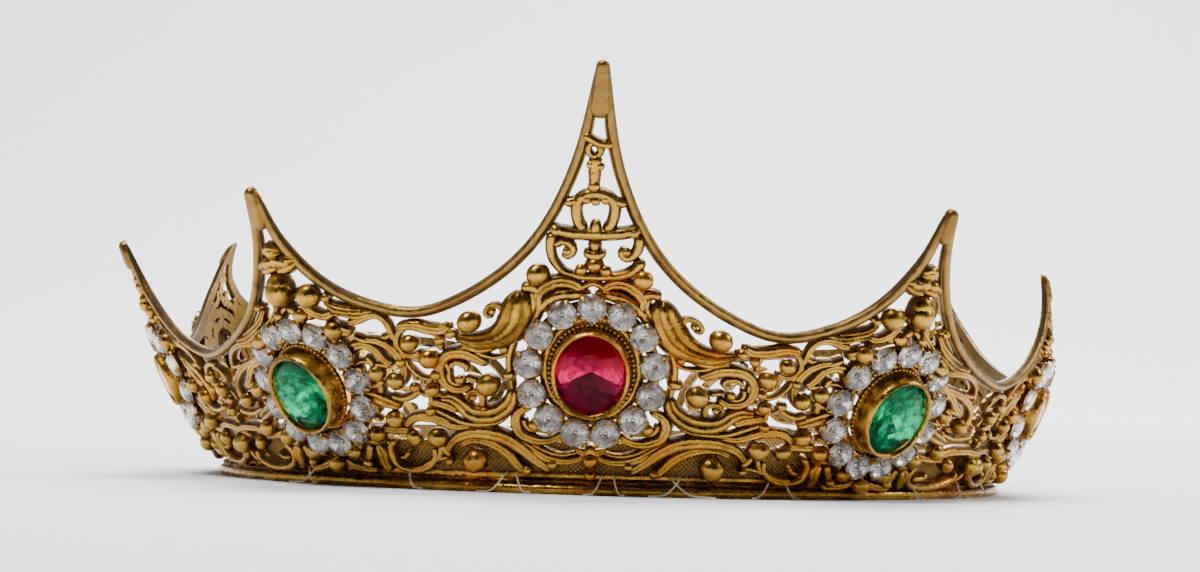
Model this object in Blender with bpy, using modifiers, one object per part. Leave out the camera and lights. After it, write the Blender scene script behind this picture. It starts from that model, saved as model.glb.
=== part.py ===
"""Deity crown of gilt brass openwork: seven jewelled peaks on a round base, low and open at the back.

Z is up, the front faces -Y and the origin is the middle of the flat underside of the base ring.
The pierced wall is drawn unrolled: along the base circle, up the slope and out of the wall. It is
then wrapped round the flared wall. Sizes are in millimetres and degrees, and each finished piece
is scaled to metres.
"""

import math
from collections import namedtuple

import bmesh
import bpy
import numpy as np
from mathutils import Matrix, Vector

MM = 0.001

# Tolerances of the drawing
WELD_DISTANCE = 0.00001
SEAM_WELD = 0.002
END_TOLERANCE = 0.0005
FLAT_ANGLE = 0.0005

# Driving sizes of the metal wall, in millimetres
BASE_RADIUS = 59.7
WALL = 1.0
RIM_WIRE_RADIUS = 0.72
TIP_HALF_WIDTH = 0.45
BACK_HEIGHT = 5.0
WALL_COLUMNS = 30

# Base ring, rolled round the foot of the wall
RING_HALF_WIDTH = 1.25
RING_BULGE = 0.35
RING_HEIGHT = 2.2
RING_SHOULDER_SHARE = 0.75
RING_TOP_SHARE = 0.65
RING_BULGE_SHARE = 0.5
WALL_FOOT = 0.8

# Plain band behind the foot of the wall
BAND_THICKNESS = 0.6
BAND_HEIGHT = 6.6

# Oval stones in two sizes, each with its number of small round stones in the wreath
Setting = namedtuple("Setting", "half_width half_height wreath_stones")
LARGE_SETTING = Setting(5.0, 5.7, 13)
SMALL_SETTING = Setting(3.1, 3.7, 10)
STONE_CROWN_SHARE = 0.3
STONE_PAVILION_SHARE = 0.48
STONE_TABLE_SHARE = 0.62
STONE_CULET_SHARE = 0.2
BEZEL_HEIGHT = 3.6
BEZEL_WALL = 0.7
BEZEL_LIP_SHARE = 0.86
BEZEL_LEDGE_SHARE = 0.72
BEZEL_GIRDLE_SHARE = 0.57
BEZEL_CHAMFER_SHARE = 0.3
FACETS = 10
WREATH_STONE_RADIUS = 2.0
WREATH_STONE_FACETS = 8
WREATH_TABLE_SHARE = 0.6
WREATH_GIRDLE_HEIGHT = 1.0
WREATH_CROWN = 0.85
WREATH_CUP_OVERLAP = 0.25

# Clearances between pieces
PIECE_GAP = 0.3
STONE_SEAT_GAP = 0.3
WREATH_SIDE_GAP = 0.65

# Peaks from left to right, seen from the front. pull and sway bend the tip inwards and to the right
Peak = namedtuple("Peak", "name azimuth height lean pull sway stone_up setting glass")
PEAKS = (
    Peak("left_3", -110.5, 39.0, 22.0, 7.0, 0.0, 20.0, SMALL_SETTING, "blue"),
    Peak("left_2", -76.3, 39.0, 27.0, 0.0, 0.0, 17.6, SMALL_SETTING, "amber"),
    Peak("left_1", -38.6, 47.3, 29.0, 0.0, 0.0, 17.0, LARGE_SETTING, "green"),
    Peak("front", -2.6, 61.8, 14.5, 0.0, 0.9, 18.5, LARGE_SETTING, "ruby"),
    Peak("right_1", 35.7, 46.0, 27.0, 0.0, 0.0, 15.3, LARGE_SETTING, "green"),
    Peak("right_2", 74.7, 36.2, 22.0, 4.8, 0.0, 14.8, SMALL_SETTING, "amber"),
    Peak("right_3", 123.5, 36.0, 20.0, 5.0, 2.0, 18.0, SMALL_SETTING, "blue"),
)

# Lowest places of the rim between the peaks
Valley = namedtuple("Valley", "azimuth height")
VALLEYS = (
    Valley(-132.0, 24.4),
    Valley(-93.4, 20.3),
    Valley(-58.7, 20.6),
    Valley(-23.0, 27.0),
    Valley(19.8, 24.4),
    Valley(59.3, 18.1),
    Valley(99.0, 18.2),
    Valley(144.5, 23.0),
)

# The rim runs on level from the last valley and drops to the low back: as shares of the way to the
# middle of the back, and of the drop
WingRow = namedtuple("WingRow", "way drop")
WING = (
    WingRow(0.26, 0.02),
    WingRow(0.48, 0.07),
    WingRow(0.60, 0.16),
    WingRow(0.66, 0.32),
    WingRow(0.69, 0.60),
    WingRow(0.73, 0.88),
    WingRow(0.80, 1.0),
)

# Sweep of the rim from a valley up to a tip: shares of the half width and of the rise
SweepRow = namedtuple("SweepRow", "side rise")
SWEEP = (
    SweepRow(0.88, 0.024),
    SweepRow(0.66, 0.092),
    SweepRow(0.44, 0.203),
    SweepRow(0.287, 0.33),
    SweepRow(0.185, 0.46),
    SweepRow(0.07, 0.68),
)

# Gaps pierced in each half of a panel: shares of the half width and of the valley's height
FieldGap = namedtuple("FieldGap", "side up half_wide half_high tilt")
FIELD_GAPS = (
    FieldGap(0.76, 0.855, 0.14, 0.055, -10.0),
    FieldGap(0.675, 0.63, 0.085, 0.10, 20.0),
    FieldGap(0.875, 0.60, 0.075, 0.125, -8.0),
    FieldGap(0.61, 0.335, 0.13, 0.07, -28.0),
    FieldGap(0.865, 0.315, 0.08, 0.11, 12.0),
)

# Gaps in a peak: shares of the rise above the valleys and of the half width at that height
PeakGap = namedtuple("PeakGap", "rise side half_high half_wide tilt")
LOW_PEAK_GAPS = (
    PeakGap(0.70, 0.0, 0.08, 0.28, 0.0),
    PeakGap(0.50, 0.42, 0.055, 0.21, 10.0),
    PeakGap(0.50, -0.42, 0.055, 0.21, -10.0),
)
SIDE_PEAK_GAPS = (
    PeakGap(0.64, 0.0, 0.075, 0.28, 0.0),
    PeakGap(0.39, 0.42, 0.065, 0.22, 10.0),
    PeakGap(0.39, -0.42, 0.065, 0.22, -10.0),
    PeakGap(0.20, 0.62, 0.045, 0.17, -35.0),
    PeakGap(0.20, -0.62, 0.045, 0.17, 35.0),
)
FRONT_PEAK_GAPS = (
    PeakGap(0.70, 0.0, 0.05, 0.20, 0.0),
    PeakGap(0.57, 0.38, 0.045, 0.13, 6.0),
    PeakGap(0.57, -0.38, 0.045, 0.13, -6.0),
    PeakGap(0.40, 0.0, 0.034, 0.19, 0.0),
    PeakGap(0.235, 0.22, 0.034, 0.12, 0.0),
    PeakGap(0.235, -0.22, 0.034, 0.12, 0.0),
    PeakGap(0.25, 0.62, 0.04, 0.09, 30.0),
    PeakGap(0.25, -0.62, 0.04, 0.09, -30.0),
    PeakGap(0.12, 0.64, 0.024, 0.13, -30.0),
    PeakGap(0.12, -0.64, 0.024, 0.13, 30.0),
)

# Each peak's gaps, and the rises of the balls that stand between them
PeakPattern = namedtuple("PeakPattern", "gaps ball_rises")
LOW_PATTERN = PeakPattern(LOW_PEAK_GAPS, (0.60,))
SIDE_PATTERN = PeakPattern(SIDE_PEAK_GAPS, (0.31, 0.51))
FRONT_PATTERN = PeakPattern(FRONT_PEAK_GAPS, (0.31, 0.475, 0.635))
PEAK_PATTERNS = {"front": FRONT_PATTERN, "left_1": SIDE_PATTERN, "right_1": SIDE_PATTERN}

# Gaps in a back wing: shares of the way to the middle of the back and of the valley's height
WING_GAPS = (
    FieldGap(0.14, 0.80, 0.075, 0.07, 0.0),
    FieldGap(0.42, 0.76, 0.085, 0.07, 0.0),
    FieldGap(0.14, 0.44, 0.085, 0.18, 0.0),
    FieldGap(0.42, 0.44, 0.10, 0.18, 0.0),
)
GAP_SIDES = 6
GAP_SQUARENESS = 0.75

# Raised balls in each half of a panel: shares of the half width and of the valley's height
Ball = namedtuple("Ball", "side up radius")
FIELD_BALLS = (
    Ball(0.755, 0.475, 1.5),
    Ball(0.72, 0.17, 1.6),
)

# Raised balls under each valley: shares of the valley's height
ValleyBall = namedtuple("ValleyBall", "up radius")
VALLEY_BALLS = (
    ValleyBall(0.80, 1.4),
    ValleyBall(0.45, 1.3),
)
PEAK_BALL_RADIUS = 1.0
BALL_SEGMENTS = 6

# A ball stands on the wall as two stacked cones: shares of its radius
BallLevel = namedtuple("BallLevel", "width rise")
BALL_LEVELS = (
    BallLevel(1.0, 0.0),
    BallLevel(0.94, 0.5),
    BallLevel(0.45, 0.95),
)
BALL_SUNK = 0.3

# Raised leaves of each half: the spine as shares of the half width and of the valley's height
LeafPoint = namedtuple("LeafPoint", "side up")
FOOT_LEAF = (
    LeafPoint(0.10, 0.115),
    LeafPoint(0.40, 0.13),
    LeafPoint(0.64, 0.15),
)
FOOT_LEAF_RADIUS = 0.75
FOOT_LEAF_OUT = 0.45

# Colours from the piece's finish: base colour, roughness, metallic
Finish = namedtuple("Finish", "colour roughness metallic")
GILT = Finish((0.48, 0.29, 0.08), 0.35, 1.0)
BAND_GILT = Finish((0.42, 0.28, 0.10), 0.55, 1.0)
WREATH_PASTE = Finish((0.55, 0.52, 0.48), 0.15, 0.0)
GLASS = {
    "ruby": Finish((0.45, 0.0, 0.06), 0.08, 0.0),
    "green": Finish((0.0, 0.30, 0.15), 0.08, 0.0),
    "amber": Finish((0.75, 0.26, 0.03), 0.08, 0.0),
    "blue": Finish((0.18, 0.42, 0.80), 0.08, 0.0),
}


# Scene and object helpers
def clear_scene():
    for obj in list(bpy.data.objects):
        bpy.data.objects.remove(obj, do_unlink=True)


def new_collection(name):
    collection = bpy.data.collections.new(name)
    bpy.context.scene.collection.children.link(collection)
    return collection


def make_material(name, finish):
    material = bpy.data.materials.new(name)
    material.use_nodes = True
    shader = material.node_tree.nodes["Principled BSDF"]
    shader.inputs["Base Color"].default_value = (*finish.colour, 1.0)
    shader.inputs["Roughness"].default_value = finish.roughness
    shader.inputs["Metallic"].default_value = finish.metallic
    return material


def add_object(name, data, collection):
    obj = bpy.data.objects.new(name, data)
    collection.objects.link(obj)
    return obj


def baked_mesh(obj):
    """The object's evaluated mesh with its curve caps welded; the object is removed."""
    evaluated = obj.evaluated_get(bpy.context.evaluated_depsgraph_get())
    mesh = bpy.data.meshes.new_from_object(evaluated)
    mesh.transform(obj.matrix_world)
    bpy.data.objects.remove(obj, do_unlink=True)
    shape = bmesh.new()
    shape.from_mesh(mesh)
    bmesh.ops.remove_doubles(shape, verts=shape.verts, dist=WELD_DISTANCE)
    shape.to_mesh(mesh)
    shape.free()
    return mesh


def finish_piece(name, mesh, parts, finish):
    """Put a mesh drawn in millimetres into the parts collection, in metres."""
    mesh.transform(Matrix.Scale(MM, 4))
    obj = add_object(name, mesh, parts)
    mesh.materials.clear()
    mesh.materials.append(make_material(name + "_finish", finish))
    return obj


def union(name, body, additions, cutters):
    """Join the added meshes to the body mesh and return the joined mesh."""
    group = bpy.data.collections.new(name + "_additions")
    cutters.children.link(group)
    for index, mesh in enumerate(additions):
        cutter = add_object("%s_addition_%d" % (name, index), mesh, group)
        cutter.hide_render = True
        cutter.display_type = "WIRE"
    obj = add_object(name + "_body", body, cutters)
    joint = obj.modifiers.new("join", "BOOLEAN")
    joint.operation = "UNION"
    joint.solver = "EXACT"
    joint.operand_type = "COLLECTION"
    joint.collection = group
    bpy.context.view_layer.update()
    return baked_mesh(obj)


# The flared wall
def lean_at(azimuth):
    """Lean of the wall from the vertical, in radians, easing from each peak's own lean to the next."""
    first = PEAKS[0]
    last = PEAKS[-1]
    places = np.array([last.azimuth - 360.0] + [peak.azimuth for peak in PEAKS] + [first.azimuth + 360.0])
    leans = np.array([last.lean] + [peak.lean for peak in PEAKS] + [first.lean])
    degrees = np.degrees(azimuth)
    after = np.clip(np.searchsorted(places, degrees), 1, len(places) - 1)
    share = (degrees - places[after - 1]) / (places[after] - places[after - 1])
    eased = share * share * (3.0 - 2.0 * share)
    return np.radians(leans[after - 1] + eased * (leans[after] - leans[after - 1]))


def panel_sides(index):
    """The valleys to the left and the right of a peak."""
    return VALLEYS[index], VALLEYS[index + 1]


def shoulder_height(index):
    """Height from which a peak stands free, the mean of its two valleys."""
    left, right = panel_sides(index)
    return 0.5 * (left.height + right.height)


def tip_bend(azimuth, up):
    """Pull inwards and sway to the right, growing as the square of the way up the free peak."""
    pull = np.zeros_like(up)
    sway = np.zeros_like(up)
    degrees = np.degrees(azimuth)
    for index, peak in enumerate(PEAKS):
        left, right = panel_sides(index)
        inside = (degrees > left.azimuth) & (degrees < right.azimuth)
        shoulder = shoulder_height(index)
        way = np.clip((up - shoulder) / (peak.height - shoulder), 0.0, None)
        pull += inside * peak.pull * way ** 2
        sway += inside * peak.sway * way ** 2
    return pull, sway


def wrap(flat):
    """Points (along, up, out) of the drawing as points of the flared wall."""
    along, up, out = np.asarray(flat, dtype=float).T
    azimuth = along / BASE_RADIUS
    lean = lean_at(azimuth)
    pull, sway = tip_bend(azimuth, up)
    radius = BASE_RADIUS + up * np.sin(lean) - pull + out * np.cos(lean)
    height = up * np.cos(lean) - out * np.sin(lean)
    turned = azimuth + sway / radius
    return np.stack([radius * np.sin(turned), -radius * np.cos(turned), height], axis=1)


def wrap_mesh(mesh):
    count = len(mesh.vertices)
    flat = np.empty(count * 3)
    mesh.vertices.foreach_get("co", flat)
    mesh.vertices.foreach_set("co", wrap(flat.reshape(count, 3)).ravel())
    mesh.update()


def along_at(azimuth_degrees, across=0.0, up=0.0):
    """Place along the drawing of a point that lies across millimetres from an azimuth, up the wall."""
    azimuth = math.radians(azimuth_degrees)
    radius = BASE_RADIUS + up * math.sin(float(lean_at(azimuth)))
    return BASE_RADIUS * (azimuth + across / radius)


def half_widths(index):
    """Width of a panel's left and right halves, measured at the valleys."""
    peak = PEAKS[index]
    widths = []
    for valley in panel_sides(index):
        radius = BASE_RADIUS + valley.height * math.sin(math.radians(peak.lean))
        widths.append(abs(math.radians(valley.azimuth - peak.azimuth)) * radius)
    return widths


def half_width_at_rise(index, rise, side):
    """Half width of a free peak at a share of its rise; side is -1 for left and 1 for right."""
    width = half_widths(index)[0 if side < 0 else 1]
    rises = [0.0] + [row.rise for row in SWEEP] + [1.0]
    shares = [1.0] + [row.side for row in SWEEP] + [0.0]
    share = float(np.interp(rise, rises, shares))
    return TIP_HALF_WIDTH + share * (width - TIP_HALF_WIDTH)


# Drawing of the pierced wall, unrolled
def sweep_points(index, side):
    """Rim from the tip down to just before the valley on one side."""
    peak = PEAKS[index]
    valley = panel_sides(index)[0 if side < 0 else 1]
    width = half_widths(index)[0 if side < 0 else 1]
    points = [(along_at(peak.azimuth, side * TIP_HALF_WIDTH, peak.height), peak.height)]
    for row in reversed(SWEEP):
        up = valley.height + row.rise * (peak.height - valley.height)
        across = TIP_HALF_WIDTH + row.side * (width - TIP_HALF_WIDTH)
        points.append((along_at(peak.azimuth, side * across, up), up))
    return points


def wing_point(side, way, up):
    """Point of a back wing; way runs from the last valley to the middle of the back."""
    valley = VALLEYS[0] if side < 0 else VALLEYS[-1]
    azimuth = valley.azimuth + way * (side * 180.0 - valley.azimuth)
    return along_at(azimuth), up


def wing_rim(side):
    """Rim from the last valley to the middle of the back."""
    valley = VALLEYS[0] if side < 0 else VALLEYS[-1]
    drop = valley.height - BACK_HEIGHT
    rows = [WingRow(0.0, 0.0)] + list(WING) + [WingRow(1.0, 1.0)]
    return [wing_point(side, row.way, valley.height - row.drop * drop) for row in rows]


def rim_lines():
    """The rim as lines from tip to tip, and from the end tips to the middle of the back."""
    lines = [list(reversed(wing_rim(-1))) + list(reversed(sweep_points(0, -1)))]
    for index in range(len(PEAKS) - 1):
        valley = VALLEYS[index + 1]
        down = sweep_points(index, 1)
        rise = list(reversed(sweep_points(index + 1, -1)))
        lines.append(down + [(along_at(valley.azimuth), valley.height)] + rise)
    lines.append(sweep_points(len(PEAKS) - 1, 1) + wing_rim(1))
    return lines


def rounded_gap(centre, half_wide, half_high, tilt):
    """Outline of a gap: an oval between a circle and a square, turned by its tilt."""
    turn = math.radians(tilt)
    points = []
    for step in range(GAP_SIDES):
        angle = 2.0 * math.pi * (step + 0.5) / GAP_SIDES
        across = half_wide * math.copysign(abs(math.cos(angle)) ** GAP_SQUARENESS, math.cos(angle))
        rise = half_high * math.copysign(abs(math.sin(angle)) ** GAP_SQUARENESS, math.sin(angle))
        points.append((centre[0] + across * math.cos(turn) - rise * math.sin(turn),
                       centre[1] + across * math.sin(turn) + rise * math.cos(turn)))
    return points


def field_place(index, valley, side, up):
    """Point at shares of the way from a peak's middle to a valley, and of the valley's height."""
    peak = PEAKS[index]
    azimuth = peak.azimuth + side * (valley.azimuth - peak.azimuth)
    return along_at(azimuth), up * valley.height


def panel_gaps(index):
    """Gaps of one panel: behind the stone, in both halves of the field and in the peak."""
    peak = PEAKS[index]
    back = (along_at(peak.azimuth), peak.stone_up)
    gaps = [rounded_gap(back, BEZEL_LEDGE_SHARE * peak.setting.half_width,
                        BEZEL_LEDGE_SHARE * peak.setting.half_height, 0.0)]
    for side, valley in zip((-1, 1), panel_sides(index)):
        way = abs(along_at(valley.azimuth) - along_at(peak.azimuth))
        for row in FIELD_GAPS:
            gaps.append(rounded_gap(field_place(index, valley, row.side, row.up), row.half_wide * way,
                                    row.half_high * valley.height, side * row.tilt))
    for row in PEAK_PATTERNS.get(peak.name, LOW_PATTERN).gaps:
        side = -1 if row.side < 0 else 1
        shoulder = panel_sides(index)[0 if side < 0 else 1].height if row.side else shoulder_height(index)
        free = peak.height - shoulder
        width = half_width_at_rise(index, row.rise, side)
        up = shoulder + row.rise * free
        centre = (along_at(peak.azimuth, row.side * width, up), up)
        gaps.append(rounded_gap(centre, row.half_wide * width, row.half_high * free, row.tilt))
    return gaps


def wing_gaps(side):
    valley = VALLEYS[0] if side < 0 else VALLEYS[-1]
    way = math.radians(180.0 - abs(valley.azimuth)) * BASE_RADIUS
    gaps = []
    for row in WING_GAPS:
        centre = wing_point(side, row.side, row.up * valley.height)
        gaps.append(rounded_gap(centre, row.half_wide * way, row.half_high * valley.height, row.tilt))
    return gaps


def flat_plate(name, outlines, cutters):
    """Plate from a closed outline and the gaps inside it."""
    curve = bpy.data.curves.new(name, "CURVE")
    curve.dimensions = "2D"
    curve.fill_mode = "BOTH"
    curve.extrude = 0.5 * WALL
    for points in outlines:
        spline = curve.splines.new("POLY")
        spline.points.add(len(points) - 1)
        spline.points.foreach_set("co", [value for x, y in points for value in (x, y, 0.0, 1.0)])
        spline.use_cyclic_u = True
    obj = add_object(name, curve, cutters)
    bpy.context.view_layer.update()
    return baked_mesh(obj)


def wire_mesh(name, points, radius, out, cutters):
    """Round wire along a line of the drawing, its middle out of the wall's own middle."""
    curve = bpy.data.curves.new(name, "CURVE")
    curve.dimensions = "3D"
    curve.bevel_depth = radius
    curve.bevel_resolution = 0
    curve.use_fill_caps = True
    spline = curve.splines.new("POLY")
    spline.points.add(len(points) - 1)
    spline.points.foreach_set("co", [value for x, y in points for value in (x, y, out, 1.0)])
    obj = add_object(name, curve, cutters)
    bpy.context.view_layer.update()
    return baked_mesh(obj)


def stacked_cones(name, levels, segments):
    """Closed solid round Z through levels of (radius, height), from the lowest up."""
    shape = bmesh.new()
    for (radius_low, low), (radius_high, high) in zip(levels, levels[1:]):
        middle = Matrix.Translation((0.0, 0.0, 0.5 * (low + high)))
        bmesh.ops.create_cone(shape, cap_ends=True, segments=segments, radius1=radius_low,
                              radius2=radius_high, depth=high - low, matrix=middle)
    joints = [height for radius, height in levels[1:-1]]
    inner = [face for face in shape.faces
             if any(all(abs(vert.co.z - height) < END_TOLERANCE for vert in face.verts) for height in joints)]
    bmesh.ops.delete(shape, geom=inner, context="FACES")
    bmesh.ops.remove_doubles(shape, verts=shape.verts, dist=WELD_DISTANCE)
    mesh = bpy.data.meshes.new(name)
    shape.to_mesh(mesh)
    shape.free()
    return mesh


def ball_mesh(name, centre, radius):
    """Raised ball on the wall's front face, its foot sunk in the wall."""
    face = 0.5 * WALL
    levels = [(BALL_LEVELS[0].width * radius, face - BALL_SUNK)]
    levels += [(level.width * radius, face + level.rise * radius) for level in BALL_LEVELS[1:]]
    mesh = stacked_cones(name, levels, BALL_SEGMENTS)
    mesh.transform(Matrix.Translation(Vector((centre[0], centre[1], 0.0))))
    return mesh


def relief_meshes(cutters):
    """Rim wires, raised balls and leaves of the whole wall."""
    meshes = []
    for index, line in enumerate(rim_lines()):
        meshes.append(wire_mesh("rim_%d" % index, line, RIM_WIRE_RADIUS, 0.0, cutters))
    for index, peak in enumerate(PEAKS):
        for valley in panel_sides(index):
            for row in FIELD_BALLS:
                place = field_place(index, valley, row.side, row.up)
                meshes.append(ball_mesh("ball", place, row.radius))
            spine = [field_place(index, valley, point.side, point.up) for point in FOOT_LEAF]
            meshes.append(wire_mesh("leaf", spine, FOOT_LEAF_RADIUS, FOOT_LEAF_OUT, cutters))
        shoulder = shoulder_height(index)
        for rise in PEAK_PATTERNS.get(peak.name, LOW_PATTERN).ball_rises:
            up = shoulder + rise * (peak.height - shoulder)
            meshes.append(ball_mesh("ball", (along_at(peak.azimuth), up), PEAK_BALL_RADIUS))
    for valley in VALLEYS:
        for row in VALLEY_BALLS:
            up = row.up * valley.height
            meshes.append(ball_mesh("ball", (along_at(valley.azimuth), up), row.radius))
    return meshes


def cut_columns(mesh):
    """Cut a flat mesh into columns that bend with the wall, and clear the needless edges."""
    shape = bmesh.new()
    shape.from_mesh(mesh)
    half_length = math.pi * BASE_RADIUS
    for column in range(1, WALL_COLUMNS):
        along = half_length * (2.0 * column / WALL_COLUMNS - 1.0)
        geometry = shape.verts[:] + shape.edges[:] + shape.faces[:]
        cut = bmesh.ops.bisect_plane(shape, geom=geometry, plane_co=(along, 0.0, 0.0),
                                     plane_no=(1.0, 0.0, 0.0), dist=WELD_DISTANCE)
        for item in cut["geom_cut"]:
            if isinstance(item, bmesh.types.BMEdge):
                item.seam = True
    bmesh.ops.dissolve_limit(shape, angle_limit=FLAT_ANGLE, use_dissolve_boundaries=False,
                             verts=shape.verts[:], edges=shape.edges[:], delimit={"SEAM"})
    bmesh.ops.triangulate(shape, faces=shape.faces[:], quad_method="BEAUTY", ngon_method="BEAUTY")
    close_ring(shape)
    shape.to_mesh(mesh)
    shape.free()


def close_ring(shape):
    """Take away the two end faces of an unrolled strip, so that its ends can meet."""
    half_length = math.pi * BASE_RADIUS
    ends = []
    for face in shape.faces:
        if all(abs(abs(vert.co.x) - half_length) < END_TOLERANCE for vert in face.verts):
            ends.append(face)
    bmesh.ops.delete(shape, geom=ends, context="FACES")


def weld(mesh, distance):
    shape = bmesh.new()
    shape.from_mesh(mesh)
    bmesh.ops.remove_doubles(shape, verts=shape.verts, dist=distance)
    bmesh.ops.recalc_face_normals(shape, faces=shape.faces[:])
    shape.to_mesh(mesh)
    shape.free()


# Sub-parts
def base_ring_mesh(cutters):
    """Rolled ring with a flat underside, turned round Z."""
    inner = BASE_RADIUS - RING_HALF_WIDTH
    outer = BASE_RADIUS + RING_HALF_WIDTH
    profile = (
        (outer, 0.0),
        (inner, 0.0),
        (inner, RING_SHOULDER_SHARE * RING_HEIGHT),
        (BASE_RADIUS - RING_TOP_SHARE * RING_HALF_WIDTH, RING_HEIGHT),
        (BASE_RADIUS + RING_TOP_SHARE * RING_HALF_WIDTH, RING_HEIGHT),
        (outer + RING_BULGE, RING_BULGE_SHARE * RING_HEIGHT),
    )
    mesh = bpy.data.meshes.new("ring_profile")
    count = len(profile)
    mesh.from_pydata([(x, 0.0, z) for x, z in profile], [(i, (i + 1) % count) for i in range(count)], [])
    obj = add_object("base_ring", mesh, cutters)
    turn = obj.modifiers.new("turn", "SCREW")
    turn.axis = "Z"
    turn.steps = WALL_COLUMNS
    turn.render_steps = WALL_COLUMNS
    turn.use_merge_vertices = True
    turn.merge_threshold = WELD_DISTANCE
    bpy.context.view_layer.update()
    mesh = baked_mesh(obj)
    weld(mesh, SEAM_WELD)
    return mesh


def make_gallery(parts, cutters):
    """Pierced wall, rim, balls and leaves with the base ring, all soldered into one piece."""
    half_length = math.pi * BASE_RADIUS
    outline = [(-half_length, WALL_FOOT), (half_length, WALL_FOOT)]
    for line in reversed(rim_lines()):
        outline.extend(reversed(line))
    gaps = [gap for index in range(len(PEAKS)) for gap in panel_gaps(index)]
    gaps += wing_gaps(-1) + wing_gaps(1)
    plate = flat_plate("wall", [outline] + gaps, cutters)
    wall = union("wall", plate, relief_meshes(cutters), cutters)
    cut_columns(wall)
    wrap_mesh(wall)
    weld(wall, SEAM_WELD)
    whole = union("gallery", wall, [base_ring_mesh(cutters)], cutters)
    finish_piece("gallery", whole, parts, GILT)


def make_inner_band(parts):
    """Plain band that stands behind the foot of the wall, over the base ring."""
    low = RING_HEIGHT + PIECE_GAP
    outer = -(RIM_WIRE_RADIUS + PIECE_GAP)
    size = Vector((2.0 * math.pi * BASE_RADIUS, BAND_HEIGHT - low, BAND_THICKNESS))
    place = Vector((0.0, 0.5 * (BAND_HEIGHT + low), outer - 0.5 * BAND_THICKNESS))
    shape = bmesh.new()
    bmesh.ops.create_cube(shape, size=1.0, matrix=Matrix.Translation(place) @ Matrix.Diagonal(size).to_4x4())
    mesh = bpy.data.meshes.new("inner_band")
    shape.to_mesh(mesh)
    shape.free()
    cut_columns(mesh)
    wrap_mesh(mesh)
    weld(mesh, SEAM_WELD)
    finish_piece("inner_band", mesh, parts, BAND_GILT)


def panel_frame(peak):
    """Matrix with X across the panel, Y up its slope and Z out of it, at the stone's place."""
    along = along_at(peak.azimuth)
    foot = wrap([(along, peak.stone_up, 0.5 * WALL)])[0]
    azimuth = math.radians(peak.azimuth)
    lean = math.radians(peak.lean)
    across = Vector((math.cos(azimuth), math.sin(azimuth), 0.0))
    slope = Vector((math.sin(lean) * math.sin(azimuth), -math.sin(lean) * math.cos(azimuth), math.cos(lean)))
    frame = Matrix((across, slope, across.cross(slope))).transposed().to_4x4()
    frame.translation = Vector(foot)
    return frame


def turned_oval(name, profile, closed, cutters):
    """Turn a profile round Z and stretch the round into the stone's oval."""
    mesh = bpy.data.meshes.new(name)
    count = len(profile)
    links = [(i, i + 1) for i in range(count - 1)] + ([(count - 1, 0)] if closed else [])
    mesh.from_pydata([(x, 0.0, z) for x, z in profile], links, [])
    obj = add_object(name, mesh, cutters)
    turn = obj.modifiers.new("turn", "SCREW")
    turn.axis = "Z"
    turn.steps = FACETS
    turn.render_steps = FACETS
    turn.use_merge_vertices = True
    turn.merge_threshold = WELD_DISTANCE
    bpy.context.view_layer.update()
    mesh = baked_mesh(obj)
    weld(mesh, SEAM_WELD)
    return mesh


def oval_ratio(setting):
    return setting.half_height / setting.half_width


def girdle_height():
    """Height of the stone's widest place above the wall's face."""
    return PIECE_GAP + BEZEL_GIRDLE_SHARE * BEZEL_HEIGHT


def make_bezel(peak, parts, cutters):
    """Tall oval collar, open at the back, that holds the stone in a groove under its lip."""
    half_width = peak.setting.half_width
    outer = half_width + BEZEL_WALL
    groove = half_width + STONE_SEAT_GAP
    top = PIECE_GAP + BEZEL_HEIGHT
    profile = (
        (outer, PIECE_GAP),
        (BEZEL_LEDGE_SHARE * half_width, PIECE_GAP),
        (groove, girdle_height() - 0.5 * STONE_SEAT_GAP),
        (groove, girdle_height() + 0.5 * STONE_SEAT_GAP),
        (BEZEL_LIP_SHARE * half_width + STONE_SEAT_GAP, top),
        (outer - BEZEL_CHAMFER_SHARE * BEZEL_WALL, top),
    )
    mesh = turned_oval("bezel", profile, True, cutters)
    mesh.transform(panel_frame(peak) @ Matrix.Diagonal((1.0, oval_ratio(peak.setting), 1.0, 1.0)))
    finish_piece("bezel_" + peak.name, mesh, parts, GILT)


def make_stone(peak, parts, cutters):
    """Oval cut stone: table, crown facets, girdle and a pavilion down to a small culet."""
    half_width = peak.setting.half_width
    girdle = girdle_height()
    table = girdle + STONE_CROWN_SHARE * half_width
    culet = girdle - STONE_PAVILION_SHARE * half_width
    profile = (
        (0.0, table),
        (STONE_TABLE_SHARE * half_width, table),
        (half_width, girdle),
        (STONE_CULET_SHARE * half_width, culet),
        (0.0, culet),
    )
    mesh = turned_oval("stone", profile, False, cutters)
    mesh.transform(panel_frame(peak) @ Matrix.Diagonal((1.0, oval_ratio(peak.setting), 1.0, 1.0)))
    finish_piece("stone_" + peak.name, mesh, parts, GLASS[peak.glass])


def wreath_inner_half(setting):
    """Half width and half height of the room inside the wreath: the bezel and its clearances."""
    outer = setting.half_width + BEZEL_WALL
    return outer + WREATH_SIDE_GAP, outer * oval_ratio(setting) + PIECE_GAP


def wreath_cup_radius(setting):
    """Radius at which neighbouring cups overlap, where stepping round the wreath spaces them."""
    step = 2.0 * math.pi / setting.wreath_stones
    corner_reach = math.cos(math.pi / WREATH_STONE_FACETS) + 1.0
    middle = 0.5 * sum(wreath_inner_half(setting))
    return (step * middle + WREATH_CUP_OVERLAP) / (corner_reach - step)


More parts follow.
